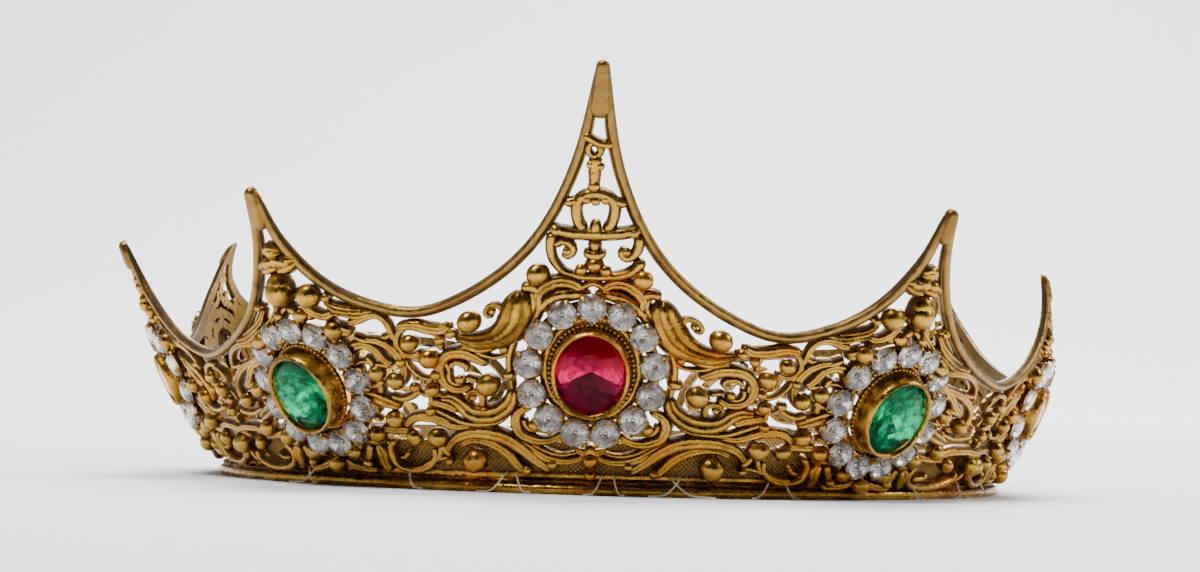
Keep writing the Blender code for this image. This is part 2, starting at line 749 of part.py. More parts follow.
def wreath_stone_mesh(setting, index):
    """One small stone in its cup, from the foot over the girdle to the table."""
    foot = 0.5 * WALL + PIECE_GAP
    girdle = foot + WREATH_GIRDLE_HEIGHT
    cup = wreath_cup_radius(setting)
    levels = [
        (cup, foot),
        (WREATH_STONE_RADIUS, girdle),
        (WREATH_STONE_RADIUS * WREATH_TABLE_SHARE, girdle + WREATH_CROWN),
    ]
    mesh = stacked_cones("wreath_stone", levels, WREATH_STONE_FACETS)
    across, rise = wreath_inner_half(setting)
    step = 2.0 * math.pi / setting.wreath_stones
    angle = index * step
    centre = ((across + cup) * math.sin(angle), (rise + cup) * math.cos(angle), 0.0)
    towards_next = Matrix.Rotation(-(angle + 0.5 * step), 4, "Z")
    mesh.transform(Matrix.Translation(centre) @ towards_next)
    return mesh


def make_wreath(peak, parts, cutters):
    """Ring of small round stones whose cups touch and are soldered to each other."""
    stones = [wreath_stone_mesh(peak.setting, index) for index in range(peak.setting.wreath_stones)]
    mesh = union("wreath_" + peak.name, stones[0], stones[1:], cutters)
    count = len(mesh.vertices)
    flat = np.empty(count * 3)
    mesh.vertices.foreach_get("co", flat)
    flat = flat.reshape(count, 3)
    stretch = np.array([along_at(peak.azimuth, 1.0, up) for up in flat[:, 1] + peak.stone_up])
    centre = along_at(peak.azimuth)
    flat[:, 0] = centre + flat[:, 0] * (stretch - centre)
    flat[:, 1] += peak.stone_up
    mesh.vertices.foreach_set("co", flat.ravel())
    wrap_mesh(mesh)
    finish_piece("wreath_" + peak.name, mesh, parts, WREATH_PASTE)


def main():
    clear_scene()
    parts = new_collection("deity_crown")
    cutters = new_collection("cutters")
    make_gallery(parts, cutters)
    make_inner_band(parts)
    for peak in PEAKS:
        make_bezel(peak, parts, cutters)
        make_stone(peak, parts, cutters)
        make_wreath(peak, parts, cutters)


main()
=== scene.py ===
"""Deity crown of gilt brass openwork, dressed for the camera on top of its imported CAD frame.

The pierced wall is drawn unrolled, as it is in the CAD: across a panel, up the slope and out of the
wall, in millimetres. Each cast scroll, leaf and ball is a closed shell that is mapped onto the flared
wall and scaled to metres. Z is up and the front faces -Y.
"""

from __future__ import annotations

import logging
import math
import sys
from dataclasses import dataclass, field
from enum import Enum

import bpy
import numpy as np
from mathutils import Matrix, Vector

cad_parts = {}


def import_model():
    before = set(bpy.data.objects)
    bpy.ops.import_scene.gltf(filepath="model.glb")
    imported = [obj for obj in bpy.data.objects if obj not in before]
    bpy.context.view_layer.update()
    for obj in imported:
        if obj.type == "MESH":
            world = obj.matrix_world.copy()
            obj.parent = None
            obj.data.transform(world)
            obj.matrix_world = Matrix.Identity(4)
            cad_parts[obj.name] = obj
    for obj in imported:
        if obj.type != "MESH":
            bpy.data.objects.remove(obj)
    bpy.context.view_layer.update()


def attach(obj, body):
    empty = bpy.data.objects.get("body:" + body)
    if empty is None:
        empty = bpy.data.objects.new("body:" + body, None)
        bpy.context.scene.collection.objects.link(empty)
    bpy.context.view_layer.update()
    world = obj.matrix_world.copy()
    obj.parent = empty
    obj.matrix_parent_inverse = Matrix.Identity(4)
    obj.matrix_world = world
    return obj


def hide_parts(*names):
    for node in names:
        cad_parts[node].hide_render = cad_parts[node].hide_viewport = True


LOG = logging.getLogger("crown")
MM = 0.001
Array = np.ndarray
Points = tuple[tuple[float, float], ...]
Limits = tuple[float, float]
Colour = tuple[float, float, float]
Socket = bpy.types.NodeSocket
# A closed shell: vertices, quads, triangles and relief
Parts = tuple[Array, Array, Array, Array]

# Driving sizes of the wall, as in the CAD, in millimetres and degrees
BASE_RADIUS = 59.7
FACE = 0.5
BACK = -0.45
BACK_HEIGHT = 5.0
TIP_HALF_WIDTH = 0.45

# The body that every piece rides on
BODY = "root"
# Relief of the back of every strand: over 1, so that the inside of the wall gets no painted shade or dirt
BACK_RELIEF = 1.1

# Sampling of a strand: samples in a span, shares of a rounded end, and an end's longest share of the length
SPAN_SAMPLES = 12
END_SHARES = np.array((0.0, 0.06, 0.2, 0.45, 0.7))
LONGEST_END = 0.45
# How far a ball's middle stands over the wall's face, as a share of its radius
BALL_LIFT = 0.35


@dataclass(frozen=True)
class Setting:
    """An oval stone, its bezel and the number of small stones round it.

    Attributes are in millimetres: half sizes of the stone and the small stones' centre line.
    """

    half_width: float
    half_height: float
    wreath_stones: int
    wreath_half_width: float
    wreath_half_height: float


LARGE = Setting(5.0, 5.7, 13, 8.72, 9.2)
SMALL = Setting(3.1, 3.7, 10, 6.75, 7.3)


@dataclass(frozen=True)
class Peak:
    """One peak of the rim: where it stands, how it leans and bends, and what it carries."""

    name: str
    azimuth: float
    height: float
    lean: float
    pull: float
    sway: float
    stone_up: float
    setting: Setting
    glass: str


@dataclass(frozen=True)
class Valley:
    """Lowest place of the rim between two peaks."""

    azimuth: float
    height: float


PEAKS = (
    Peak("left_3", -110.5, 39.0, 22.0, 7.0, 0.0, 20.0, SMALL, "blue"),
    Peak("left_2", -76.3, 39.0, 27.0, 0.0, 0.0, 17.6, SMALL, "amber"),
    Peak("left_1", -38.6, 47.3, 29.0, 0.0, 0.0, 17.0, LARGE, "green"),
    Peak("front", -2.6, 61.8, 14.5, 0.0, 0.9, 18.5, LARGE, "ruby"),
    Peak("right_1", 35.7, 46.0, 27.0, 0.0, 0.0, 15.3, LARGE, "green"),
    Peak("right_2", 74.7, 36.2, 22.0, 4.8, 0.0, 14.8, SMALL, "amber"),
    Peak("right_3", 123.5, 36.0, 20.0, 5.0, 2.0, 18.0, SMALL, "blue"),
)
VALLEYS = (
    Valley(-132.0, 24.4),
    Valley(-93.4, 20.3),
    Valley(-58.7, 20.6),
    Valley(-23.0, 27.0),
    Valley(19.8, 24.4),
    Valley(59.3, 18.1),
    Valley(99.0, 18.2),
    Valley(144.5, 23.0),
)

# Rim of a back wing: shares of the way to the middle of the back and of the drop to the low back
WING_ROWS = ((0.0, 0.0), (0.26, 0.02), (0.48, 0.07), (0.60, 0.16), (0.66, 0.32), (0.69, 0.60),
             (0.73, 0.88), (0.80, 1.0), (1.0, 1.0))
# Sweep of the rim from a valley to a tip: shares of the half width and of the rise
SWEEP_ROWS = ((1.0, 0.0), (0.88, 0.024), (0.66, 0.092), (0.44, 0.203), (0.287, 0.33), (0.185, 0.46),
              (0.07, 0.68), (0.0, 1.0))


class Form(Enum):
    """Cross-section of a cast strand: flutes across it, samples, crest share and groove depth."""

    WIRE = (0, 7, 0.95, 0.0)
    RIDGED = (2, 9, 0.84, 0.17)
    LEAF = (2, 11, 0.78, 0.26)
    FAN = (3, 15, 0.66, 0.30)
    PAD = (0, 5, 0.12, 0.0)
    SPIKE = (0, 7, 0.46, 0.0)

    @property
    def crest_share(self) -> float:
        """Height of the crest for each unit of half width."""
        return self.value[2]


@dataclass(frozen=True)
class Stroke:
    """A cast strand drawn on a panel: its form, widths from start to end, and spine, in mm."""

    form: Form
    widths: tuple[float, ...]
    spine: Points


@dataclass(frozen=True)
class Ball:
    """A raised ball drawn on a panel: across, up and radius, in mm."""

    across: float
    up: float
    radius: float


@dataclass(frozen=True)
class Pattern:
    """Drawn ornament, in mm; the weight multiplies all widths of a pattern that is fitted to a panel."""

    strokes: tuple[Stroke, ...]
    balls: tuple[Ball, ...]
    weight: float = 1.0


# Short names of the forms, for the drawings
W, R, L, F = Form.WIRE, Form.RIDGED, Form.LEAF, Form.FAN

FRONT_FIELD = Pattern(
    strokes=(
        # Large acanthus leaf over the upper corner of the wreath, with its curl and rolled heads
        Stroke(F, (3.2, 4.2, 4.2, 3.0, 2.2, 1.0), (
            (10.2, 30.0), (10.2, 28.0), (10.5, 26.0), (11.7, 24.2), (13.7, 23.1), (16.2, 22.9),
            (18.8, 23.7))),
        Stroke(R, (0.9, 0.9, 0.7, 0.6), (
            (12.3, 25.4), (12.3, 27.0), (13.0, 27.9), (14.1, 27.8), (14.7, 27.0), (14.3, 26.3),
            (13.6, 26.5))),
        Stroke(L, (1.4, 2.1, 1.8, 1.2), ((8.2, 30.3), (7.7, 28.4), (8.1, 26.4), (9.5, 24.2), (10.9, 22.6))),
        Stroke(W, (1.4, 1.6, 1.3), ((9.9, 30.1), (8.8, 30.5), (7.7, 30.0), (7.3, 29.2))),
        Stroke(R, (1.0, 1.5, 1.0), ((11.4, 24.3), (13.2, 22.3), (15.6, 21.7), (18.0, 22.4))),
        # Strand under the valley, thin stem with its bead
        Stroke(W, (0.9, 1.3, 0.8), ((18.4, 23.8), (19.3, 24.2), (20.4, 24.2))),
        Stroke(R, (1.3, 1.7, 1.5, 1.1), (
            (19.5, 25.7), (20.2, 24.8), (22.0, 25.0), (24.2, 25.7), (26.6, 25.6))),
        Stroke(W, (0.9, 0.8, 0.7, 0.6), (
            (16.8, 22.3), (15.6, 21.1), (13.8, 20.4), (12.2, 20.5), (11.4, 21.1), (11.6, 21.9),
            (12.3, 21.9))),
        # C-scroll with its leaf, eye and inner strand
        Stroke(R, (0.9, 1.7, 1.8, 1.5, 1.3, 1.2, 1.0), (
            (14.3, 19.2), (15.6, 20.1), (17.3, 21.1), (19.2, 21.2), (20.5, 20.2), (20.9, 18.6), (20.4, 16.9),
            (19.0, 15.8), (17.5, 15.8), (16.7, 16.5))),
        Stroke(W, (0.8, 0.8, 0.6), ((19.6, 18.9), (18.9, 19.8), (17.7, 19.6), (17.2, 18.8), (17.7, 18.3))),
        Stroke(W, (0.7, 0.8, 0.8, 0.6), (
            (19.6, 18.6), (19.7, 17.4), (18.9, 16.6), (17.9, 16.7), (17.5, 17.3))),
        Stroke(W, (1.4, 1.6, 2.2), ((12.5, 17.3), (11.6, 17.7), (10.5, 17.7))),
        Stroke(W, (1.0, 0.9, 0.8), ((15.5, 16.9), (16.6, 17.3), (17.6, 17.4))),
        # S-shaped acanthus with its curl and lower strands
        Stroke(L, (1.4, 2.3, 2.7, 2.4, 1.8, 1.2), (
            (10.8, 15.9), (11.2, 13.9), (12.7, 12.4), (14.8, 11.9), (16.8, 12.4), (18.3, 13.8), (19.6, 14.6),
            (21.2, 14.5))),
        Stroke(R, (1.0, 0.9, 0.7, 0.5), (
            (15.3, 12.8), (15.2, 14.4), (15.9, 15.3), (16.9, 15.2), (17.4, 14.3), (16.8, 13.7))),
        Stroke(W, (0.8, 1.0, 0.9, 0.8), (
            (11.0, 12.8), (12.7, 11.0), (15.2, 10.4), (18.0, 10.8), (20.5, 12.1), (22.4, 13.2))),
        Stroke(R, (0.9, 1.4, 1.1), ((18.6, 12.4), (20.4, 13.5), (22.4, 14.0))),
        Stroke(R, (0.8, 1.3, 1.3, 1.0), (
            (16.4, 10.1), (19.2, 10.2), (22.2, 11.4), (24.6, 11.5), (26.4, 10.3))),
        # C-scroll under the wreath
        Stroke(R, (1.0, 1.5, 1.5, 1.3, 1.0), (
            (8.2, 13.1), (9.9, 12.4), (10.5, 10.9), (9.9, 9.2), (8.3, 8.3), (6.5, 8.0), (4.9, 8.4),
            (3.8, 9.2))),
        Stroke(W, (0.9, 0.8, 0.7), ((9.4, 11.4), (9.1, 10.2), (8.1, 9.5), (7.1, 9.8), (6.9, 10.6))),
        # Long leaf along the foot, with its lower and upper branches
        Stroke(R, (1.0, 1.7, 2.1, 2.0, 1.7, 1.1), (
            (20.4, 6.2), (19.5, 7.9), (17.5, 9.0), (14.9, 9.2), (12.0, 8.5), (9.6, 6.9), (7.4, 5.0),
            (5.4, 3.6))),
        Stroke(R, (0.9, 1.4, 1.6, 1.1), (
            (18.6, 7.2), (16.4, 8.1), (13.9, 7.6), (11.7, 6.2), (10.3, 4.5), (8.9, 3.2))),
        Stroke(R, (0.9, 1.2, 1.4, 1.1, 0.8), (
            (11.2, 8.4), (8.9, 7.3), (6.7, 5.8), (4.4, 5.1), (2.2, 5.2), (0.5, 6.0))),
        Stroke(W, (0.6, 0.8, 0.6), ((8.4, 7.6), (6.2, 6.5), (4.0, 6.0), (1.8, 6.4))),
        Stroke(W, (0.9, 1.0, 0.8), ((21.2, 7.7), (20.7, 6.5), (19.8, 5.6))),
        Stroke(W, (0.8, 0.9, 0.7), ((27.0, 3.4), (24.6, 3.7), (22.6, 4.8), (20.6, 5.4), (19.4, 5.0))),
        # Collar strands beside the wreath, and the arch over it
        Stroke(W, (0.9, 1.2, 0.9), ((10.6, 23.2), (11.3, 20.6), (11.3, 18.0), (10.9, 15.4))),
        Stroke(R, (1.1, 1.9, 1.9, 1.3), ((1.2, 29.7), (2.8, 30.9), (4.9, 31.2), (6.9, 30.1), (8.0, 28.2))),
        Stroke(W, (1.2, 1.9, 1.9, 1.4), ((0.2, 29.3), (2.6, 29.4), (5.4, 28.9), (7.8, 26.8))),
        Stroke(W, (1.1, 1.0, 1.0), ((6.2, 32.0), (5.2, 31.4), (3.8, 31.4))),
    ),
    balls=(
        Ball(16.6, 25.9, 1.65), Ball(14.1, 16.5, 1.75), Ball(16.1, 5.2, 1.85), Ball(21.5, 8.7, 1.45),
        Ball(12.1, 21.6, 0.7), Ball(18.1, 17.3, 0.75), Ball(22.3, 12.7, 0.85), Ball(20.7, 23.3, 0.75),
        Ball(7.8, 10.4, 0.95), Ball(8.9, 3.7, 0.75), Ball(5.3, 4.6, 0.75), Ball(20.0, 4.9, 0.7),
        Ball(7.5, 32.4, 1.65), Ball(19.2, 24.2, 0.8), Ball(13.7, 27.1, 0.5), Ball(16.4, 14.5, 0.55),
        Ball(24.8, 8.4, 1.1),
    ),
    weight=1.2,
)

FRONT_PEAK = Pattern(
    strokes=(
        Stroke(W, (1.2, 1.2, 1.1), ((-2.2, 52.2), (-0.9, 51.4), (0.4, 50.8), (2.2, 50.7))),
        Stroke(W, (0.9, 0.9, 0.9), ((0.1, 50.9), (-0.8, 51.0), (-1.4, 50.2), (-1.0, 49.3), (-0.2, 49.1),
                                    (0.4, 49.8), (0.1, 50.8))),
        Stroke(W, (1.5, 1.5, 1.2), ((-0.3, 49.4), (-0.3, 47.4), (-0.3, 44.4))),
        Stroke(W, (1.5, 1.4, 1.4, 1.5, 1.6, 1.5, 1.4, 1.4, 1.5), (
            (-1.3, 38.4), (-2.2, 39.6), (-2.6, 41.2), (-2.5, 42.4), (-1.8, 43.3), (0.0, 43.8), (1.8, 43.3),
            (2.6, 42.4), (2.7, 41.2), (2.3, 39.6), (1.4, 38.4))),
        Stroke(W, (1.4, 1.2, 1.3), ((-4.4, 42.4), (-3.3, 42.6), (-2.2, 43.0))),
        Stroke(W, (1.4, 1.2, 1.3), ((4.4, 42.4), (3.3, 42.6), (2.2, 43.0))),
        Stroke(W, (1.1, 1.4, 1.1), ((0.1, 40.2), (0.1, 38.7), (0.1, 37.2))),
        Stroke(W, (1.5, 1.6, 1.7, 1.6, 1.5), (
            (-6.3, 38.9), (-3.5, 38.2), (0.0, 38.0), (3.5, 38.2), (6.5, 38.9))),
        Stroke(W, (1.4, 1.2, 1.1, 1.0), (
            (-5.7, 38.3), (-6.0, 36.6), (-5.8, 34.9), (-5.1, 33.6), (-4.0, 32.6), (-2.4, 32.1))),
        Stroke(W, (1.1, 1.2, 1.0, 0.8), (
            (-5.6, 36.2), (-4.5, 37.0), (-3.3, 36.5), (-2.9, 35.5), (-3.6, 34.8), (-4.4, 35.3))),
        Stroke(W, (1.2, 1.3, 1.1, 0.8), (
            (6.2, 38.2), (6.1, 36.3), (5.4, 35.1), (4.4, 34.7), (3.8, 35.4), (4.3, 36.3))),
        Stroke(W, (1.5, 1.3, 1.1), ((6.6, 34.8), (6.1, 33.5), (4.9, 32.6), (3.3, 32.1), (1.6, 32.0))),
        Stroke(W, (1.3, 1.6, 1.2), ((0.1, 37.6), (0.1, 36.4), (0.1, 35.4))),
        Stroke(W, (1.1, 1.7, 1.1), ((-1.5, 35.6), (0.1, 35.0), (1.7, 35.6))),
        Stroke(W, (2.0, 2.2, 2.0), ((0.1, 34.9), (0.1, 33.6), (0.1, 32.4))),
        Stroke(W, (1.0, 1.1, 1.0), ((-3.2, 32.3), (-1.6, 31.9), (0.0, 31.9), (1.6, 31.9), (3.2, 32.3))),
        Stroke(W, (0.9, 0.9, 0.9), ((-1.8, 30.2), (0.0, 31.0), (1.8, 30.2))),
        # Boss and drop in the middle of the foot
        Stroke(R, (1.2, 1.8, 1.2), ((0.0, 7.6), (0.0, 5.6), (0.0, 3.6))),
        Stroke(R, (0.8, 1.3, 0.8), ((-2.2, 6.8), (0.0, 6.2), (2.2, 6.8))),
    ),
    balls=(
        Ball(-0.3, 44.9, 0.9), Ball(-0.9, 47.9, 0.65), Ball(0.4, 47.7, 0.7), Ball(-0.3, 46.7, 0.7),
        Ball(-1.3, 43.0, 0.75), Ball(0.0, 42.8, 0.75), Ball(1.4, 43.0, 0.75), Ball(-1.7, 33.0, 0.9),
        Ball(1.7, 32.9, 0.9), Ball(-3.7, 35.6, 0.7), Ball(4.5, 35.7, 0.7), Ball(-5.2, 38.5, 0.8),
        Ball(5.4, 38.4, 0.8), Ball(0.0, 5.3, 1.15), Ball(0.0, 3.2, 0.9),
    ),
    weight=1.28,
)

SIDE_FIELD = Pattern(
    strokes=(
        # Knob beside the large pear, rim leaves and the hooked stem
        Stroke(R, (1.3, 1.6, 1.3), (
            (3.6, 32.6), (3.2, 31.0), (3.6, 29.4), (4.9, 28.4), (6.4, 28.0), (7.6, 28.6))),
        Stroke(W, (0.8, 0.9, 0.8), ((6.4, 30.6), (7.3, 31.2), (8.3, 30.9))),
        Stroke(L, (0.9, 1.7, 1.5, 0.9), ((6.7, 30.4), (8.0, 29.3), (10.0, 28.7), (12.2, 28.4))),
        Stroke(L, (0.9, 1.6, 1.3), ((7.2, 28.4), (9.2, 28.3), (11.3, 27.9), (13.6, 28.1))),
        Stroke(R, (0.9, 1.3, 1.0, 0.8), (
            (9.2, 26.7), (10.8, 26.9), (12.6, 27.6), (14.1, 27.5), (15.0, 26.5), (15.3, 25.0), (15.6, 23.4))),
        Stroke(W, (0.8, 0.9, 0.7), ((15.6, 24.8), (14.6, 24.2), (13.6, 24.3))),
        Stroke(R, (1.3, 2.2, 1.6), ((6.6, 27.6), (6.9, 26.3), (8.3, 25.7), (9.6, 25.2))),
        Stroke(W, (1.5, 1.8, 1.4), ((7.6, 26.0), (6.2, 25.2), (5.0, 25.0))),
        Stroke(W, (0.9, 1.0, 0.9), ((7.2, 24.4), (7.8, 23.4), (8.4, 22.6))),
        # C-scroll beside the wreath with its eye and leaf
        Stroke(R, (1.2, 1.5, 1.6, 1.4, 1.2), (
            (8.2, 17.8), (7.9, 20.4), (8.7, 22.6), (10.4, 23.3), (12.1, 22.6), (13.1, 20.9), (14.3, 19.8))),
        Stroke(R, (0.9, 1.4, 1.4, 1.2, 1.0), (
            (11.0, 24.0), (13.3, 23.6), (14.9, 22.3), (15.6, 20.4), (15.5, 18.3), (14.4, 16.8),
            (12.9, 16.2))),
        Stroke(W, (0.8, 0.9, 0.8), ((8.2, 18.6), (8.7, 20.1), (10.3, 20.6), (11.6, 19.6), (11.6, 18.2))),
        Stroke(W, (0.9, 1.1, 0.9), ((11.6, 19.7), (12.6, 20.0), (13.9, 19.6))),
        Stroke(W, (1.0, 1.2, 1.0), ((8.3, 18.0), (9.6, 17.0), (11.0, 16.9), (12.2, 17.6))),
        Stroke(W, (0.9, 1.1, 0.9), ((12.4, 15.2), (14.1, 14.6), (15.8, 15.0), (17.0, 15.9))),
        Stroke(L, (1.3, 2.4, 2.2, 1.3), ((7.9, 15.5), (9.7, 15.2), (11.6, 14.4), (13.5, 13.2))),
        Stroke(W, (1.2, 1.4, 1.0), ((8.6, 14.9), (9.4, 13.6), (9.8, 12.3))),
        # Ball ring, wavy strand and drop in the lower corner
        Stroke(W, (0.8, 0.9, 0.8), ((6.1, 9.6), (6.6, 11.3), (8.2, 12.0), (9.8, 11.2))),
        Stroke(R, (1.2, 1.4, 1.1), ((9.4, 10.0), (11.6, 9.8), (14.0, 9.7))),
        Stroke(R, (1.0, 1.3, 1.3, 1.0), (
            (13.0, 10.2), (14.8, 11.5), (17.0, 11.9), (19.0, 11.4), (20.6, 10.2))),
        Stroke(W, (1.0, 1.2, 1.0), ((6.0, 8.3), (7.6, 7.9), (9.6, 8.2))),
        # Low C-scroll and the drops along the foot
        Stroke(W, (1.0, 1.1, 1.0, 0.9), (
            (10.9, 8.2), (9.7, 6.5), (10.0, 4.4), (11.8, 3.4), (14.3, 3.5), (16.2, 4.9), (16.8, 7.0))),
        Stroke(W, (0.8, 0.8, 0.7), ((12.6, 6.4), (11.9, 5.4), (10.8, 5.3))),
        Stroke(L, (1.2, 1.9, 1.6, 1.0), ((8.0, 7.7), (8.3, 6.0), (8.2, 4.4), (8.7, 3.0))),
        Stroke(R, (1.0, 1.3, 0.9), ((6.6, 7.4), (5.8, 5.6), (4.6, 4.0))),
        Stroke(R, (1.0, 1.3, 1.0), ((0.0, 5.4), (2.2, 4.0), (4.2, 3.4), (6.4, 3.2))),
        Stroke(W, (0.8, 1.0, 0.8), ((18.0, 7.4), (17.4, 5.9), (16.6, 4.8))),
        # Blobs over the wreath
        Stroke(W, (1.6, 1.7, 1.6), ((0.0, 29.6), (1.4, 28.9), (2.9, 27.6))),
        Stroke(W, (1.0, 1.1, 1.0), ((2.9, 29.8), (3.3, 28.4), (4.0, 27.4))),
        Stroke(W, (0.9, 1.2, 0.9), ((9.6, 24.8), (10.8, 24.0), (11.9, 23.6))),
        Stroke(W, (0.9, 1.1, 0.9), ((10.6, 21.6), (11.3, 19.0), (11.2, 16.0), (10.2, 13.2))),
    ),
    balls=(
        Ball(7.3, 30.9, 0.75), Ball(2.4, 28.4, 1.25), Ball(7.2, 25.9, 1.5),
        Ball(11.7, 18.9, 1.3), Ball(14.2, 17.6, 1.35), Ball(12.3, 11.6, 1.4), Ball(8.8, 9.3, 1.35),
        Ball(14.4, 8.8, 1.2), Ball(18.1, 8.7, 1.5), Ball(3.7, 6.3, 1.2), Ball(5.3, 4.4, 0.8),
    ),
    weight=1.2,
)

SIDE_PEAK = Pattern(
    strokes=(
        # Pear and the knot of leaves over it
        Stroke(W, (2.6, 4.6, 4.4, 3.0), ((0.1, 29.9), (0.1, 31.2), (0.1, 33.0), (0.3, 35.2))),
        Stroke(L, (2.0, 3.2, 2.0), ((-2.6, 35.2), (-0.6, 36.2), (1.3, 36.0))),
        Stroke(L, (2.0, 3.3, 2.4), ((0.3, 35.4), (2.2, 36.2), (4.4, 36.8))),
        Stroke(L, (2.0, 2.9, 1.8), ((-0.6, 37.4), (0.7, 38.5), (2.2, 38.0))),
        Stroke(W, (1.2, 1.5, 1.2), ((2.4, 37.6), (3.2, 36.9), (3.6, 36.0))),
        Stroke(W, (1.2, 1.3, 1.2), ((-2.9, 33.0), (-2.2, 31.9), (-1.6, 31.6))),
        Stroke(W, (1.2, 1.3, 1.2), ((1.9, 31.8), (2.9, 31.7), (3.9, 32.0))),
        # Boss in the middle of the foot
        Stroke(R, (1.2, 1.6, 1.2), ((0.0, 6.0), (0.0, 4.4), (0.0, 3.0))),
    ),
    balls=(
        Ball(-0.6, 36.6, 0.9), Ball(1.2, 36.9, 1.0), Ball(0.6, 38.3, 0.85), Ball(2.7, 36.7, 0.9),
        Ball(5.0, 31.5, 1.85), Ball(0.1, 32.1, 2.1), Ball(0.0, 4.3, 1.5),
    ),
)

# Cluster under a valley; across runs from the valley towards the front
VALLEY_CLUSTER = Pattern(
    strokes=(
        Stroke(R, (1.0, 1.1, 1.1, 0.9), (
            (0.7, 25.6), (-1.4, 25.6), (-3.0, 24.6), (-3.5, 22.9), (-2.8, 21.5), (-1.3, 21.1), (-0.2, 21.8))),
        Stroke(W, (0.9, 1.1, 1.0), ((0.4, 25.3), (2.0, 24.4), (2.7, 23.2), (2.6, 21.6))),
        Stroke(W, (0.7, 0.9, 0.8), ((-3.0, 21.6), (-2.2, 19.4), (-0.8, 17.9), (0.9, 17.4), (2.2, 17.9))),
        Stroke(W, (0.8, 0.9, 0.8), ((1.2, 19.6), (1.7, 18.7), (1.5, 17.6), (0.9, 16.6))),
        Stroke(W, (0.8, 1.0, 0.8), ((-2.3, 16.8), (-1.2, 15.4), (0.5, 14.9), (2.0, 15.2))),
        Stroke(W, (0.8, 0.9, 0.8), ((2.4, 20.4), (3.2, 19.4), (3.4, 18.0))),
        Stroke(W, (0.9, 1.0, 0.9), ((0.4, 15.6), (0.2, 14.2), (0.8, 12.8))),
    ),
    balls=(
        Ball(-1.4, 23.2, 1.3), Ball(1.1, 20.7, 1.5), Ball(1.5, 18.1, 0.85), Ball(0.8, 16.0, 1.15),
        Ball(-1.7, 16.4, 0.85), Ball(-3.2, 20.3, 0.8),
    ),
)

# Ornament of a back wing; across runs from the last valley towards the middle of the back
WING_FIELD = Pattern(
    strokes=(
        Stroke(R, (1.2, 1.8, 1.4, 1.0), (
            (2.0, 20.6), (4.6, 21.6), (7.6, 20.8), (8.6, 18.0), (6.6, 16.2), (4.8, 17.6))),
        Stroke(L, (1.2, 2.4, 1.8, 1.0), ((1.0, 14.6), (3.4, 12.2), (6.8, 12.0), (9.4, 14.2), (12.4, 14.6))),
        Stroke(R, (1.0, 1.6, 1.4, 1.0), ((1.6, 6.0), (4.4, 8.8), (8.2, 8.6), (11.2, 5.8), (13.8, 3.6))),
        Stroke(R, (1.2, 1.8, 1.4, 1.0), (
            (10.4, 21.4), (13.6, 20.4), (15.6, 17.6), (14.2, 15.2), (12.0, 16.4))),
        Stroke(L, (1.2, 2.4, 1.8, 1.0), (
            (12.6, 12.4), (15.2, 10.4), (18.4, 11.0), (20.6, 13.8), (21.8, 16.4))),
        Stroke(R, (1.0, 1.6, 1.2), ((13.2, 8.8), (15.8, 6.6), (18.6, 6.4), (21.4, 4.0))),
        Stroke(R, (1.2, 1.6, 1.2), ((16.8, 20.6), (18.8, 18.4), (19.0, 15.4), (16.8, 13.8))),
        Stroke(W, (1.0, 1.2, 1.0), ((0.6, 17.8), (2.2, 16.6), (3.6, 14.2))),
        Stroke(W, (1.0, 1.2, 1.0), ((0.4, 9.8), (2.6, 9.4), (4.6, 8.4))),
        Stroke(W, (1.0, 1.2, 1.0), ((9.0, 18.4), (10.8, 19.6), (11.8, 22.0))),
        Stroke(W, (1.0, 1.2, 1.0), ((9.2, 8.2), (10.2, 10.4), (9.6, 13.0))),
        Stroke(W, (1.0, 1.2, 1.0), ((20.4, 6.0), (19.4, 8.4), (18.6, 10.6))),
    ),
    balls=(
        Ball(5.4, 18.6, 1.5), Ball(9.6, 16.8, 1.3), Ball(6.2, 5.0, 1.6), Ball(12.6, 17.6, 1.3),
        Ball(10.6, 11.2, 1.4), Ball(16.6, 4.0, 1.4), Ball(19.6, 16.6, 1.2), Ball(14.4, 22.0, 1.0),
        Ball(3.0, 9.8, 1.2),
    ),
)


def smooth_step(share: Array) -> Array:
    """Ease from 0 to 1: three times the square less twice the cube of the clipped share.

    Args:
        share: way from 0 to 1, clipped outside it.

    Returns:
        The eased way.
    """
    clipped = np.clip(share, 0.0, 1.0)
    return clipped * clipped * (3.0 - 2.0 * clipped)


def unit_rows(vectors: Array) -> Array:
    """Scale every row to unit length."""
    return vectors / np.maximum(np.linalg.norm(vectors, axis=1), 1e-9)[:, None]


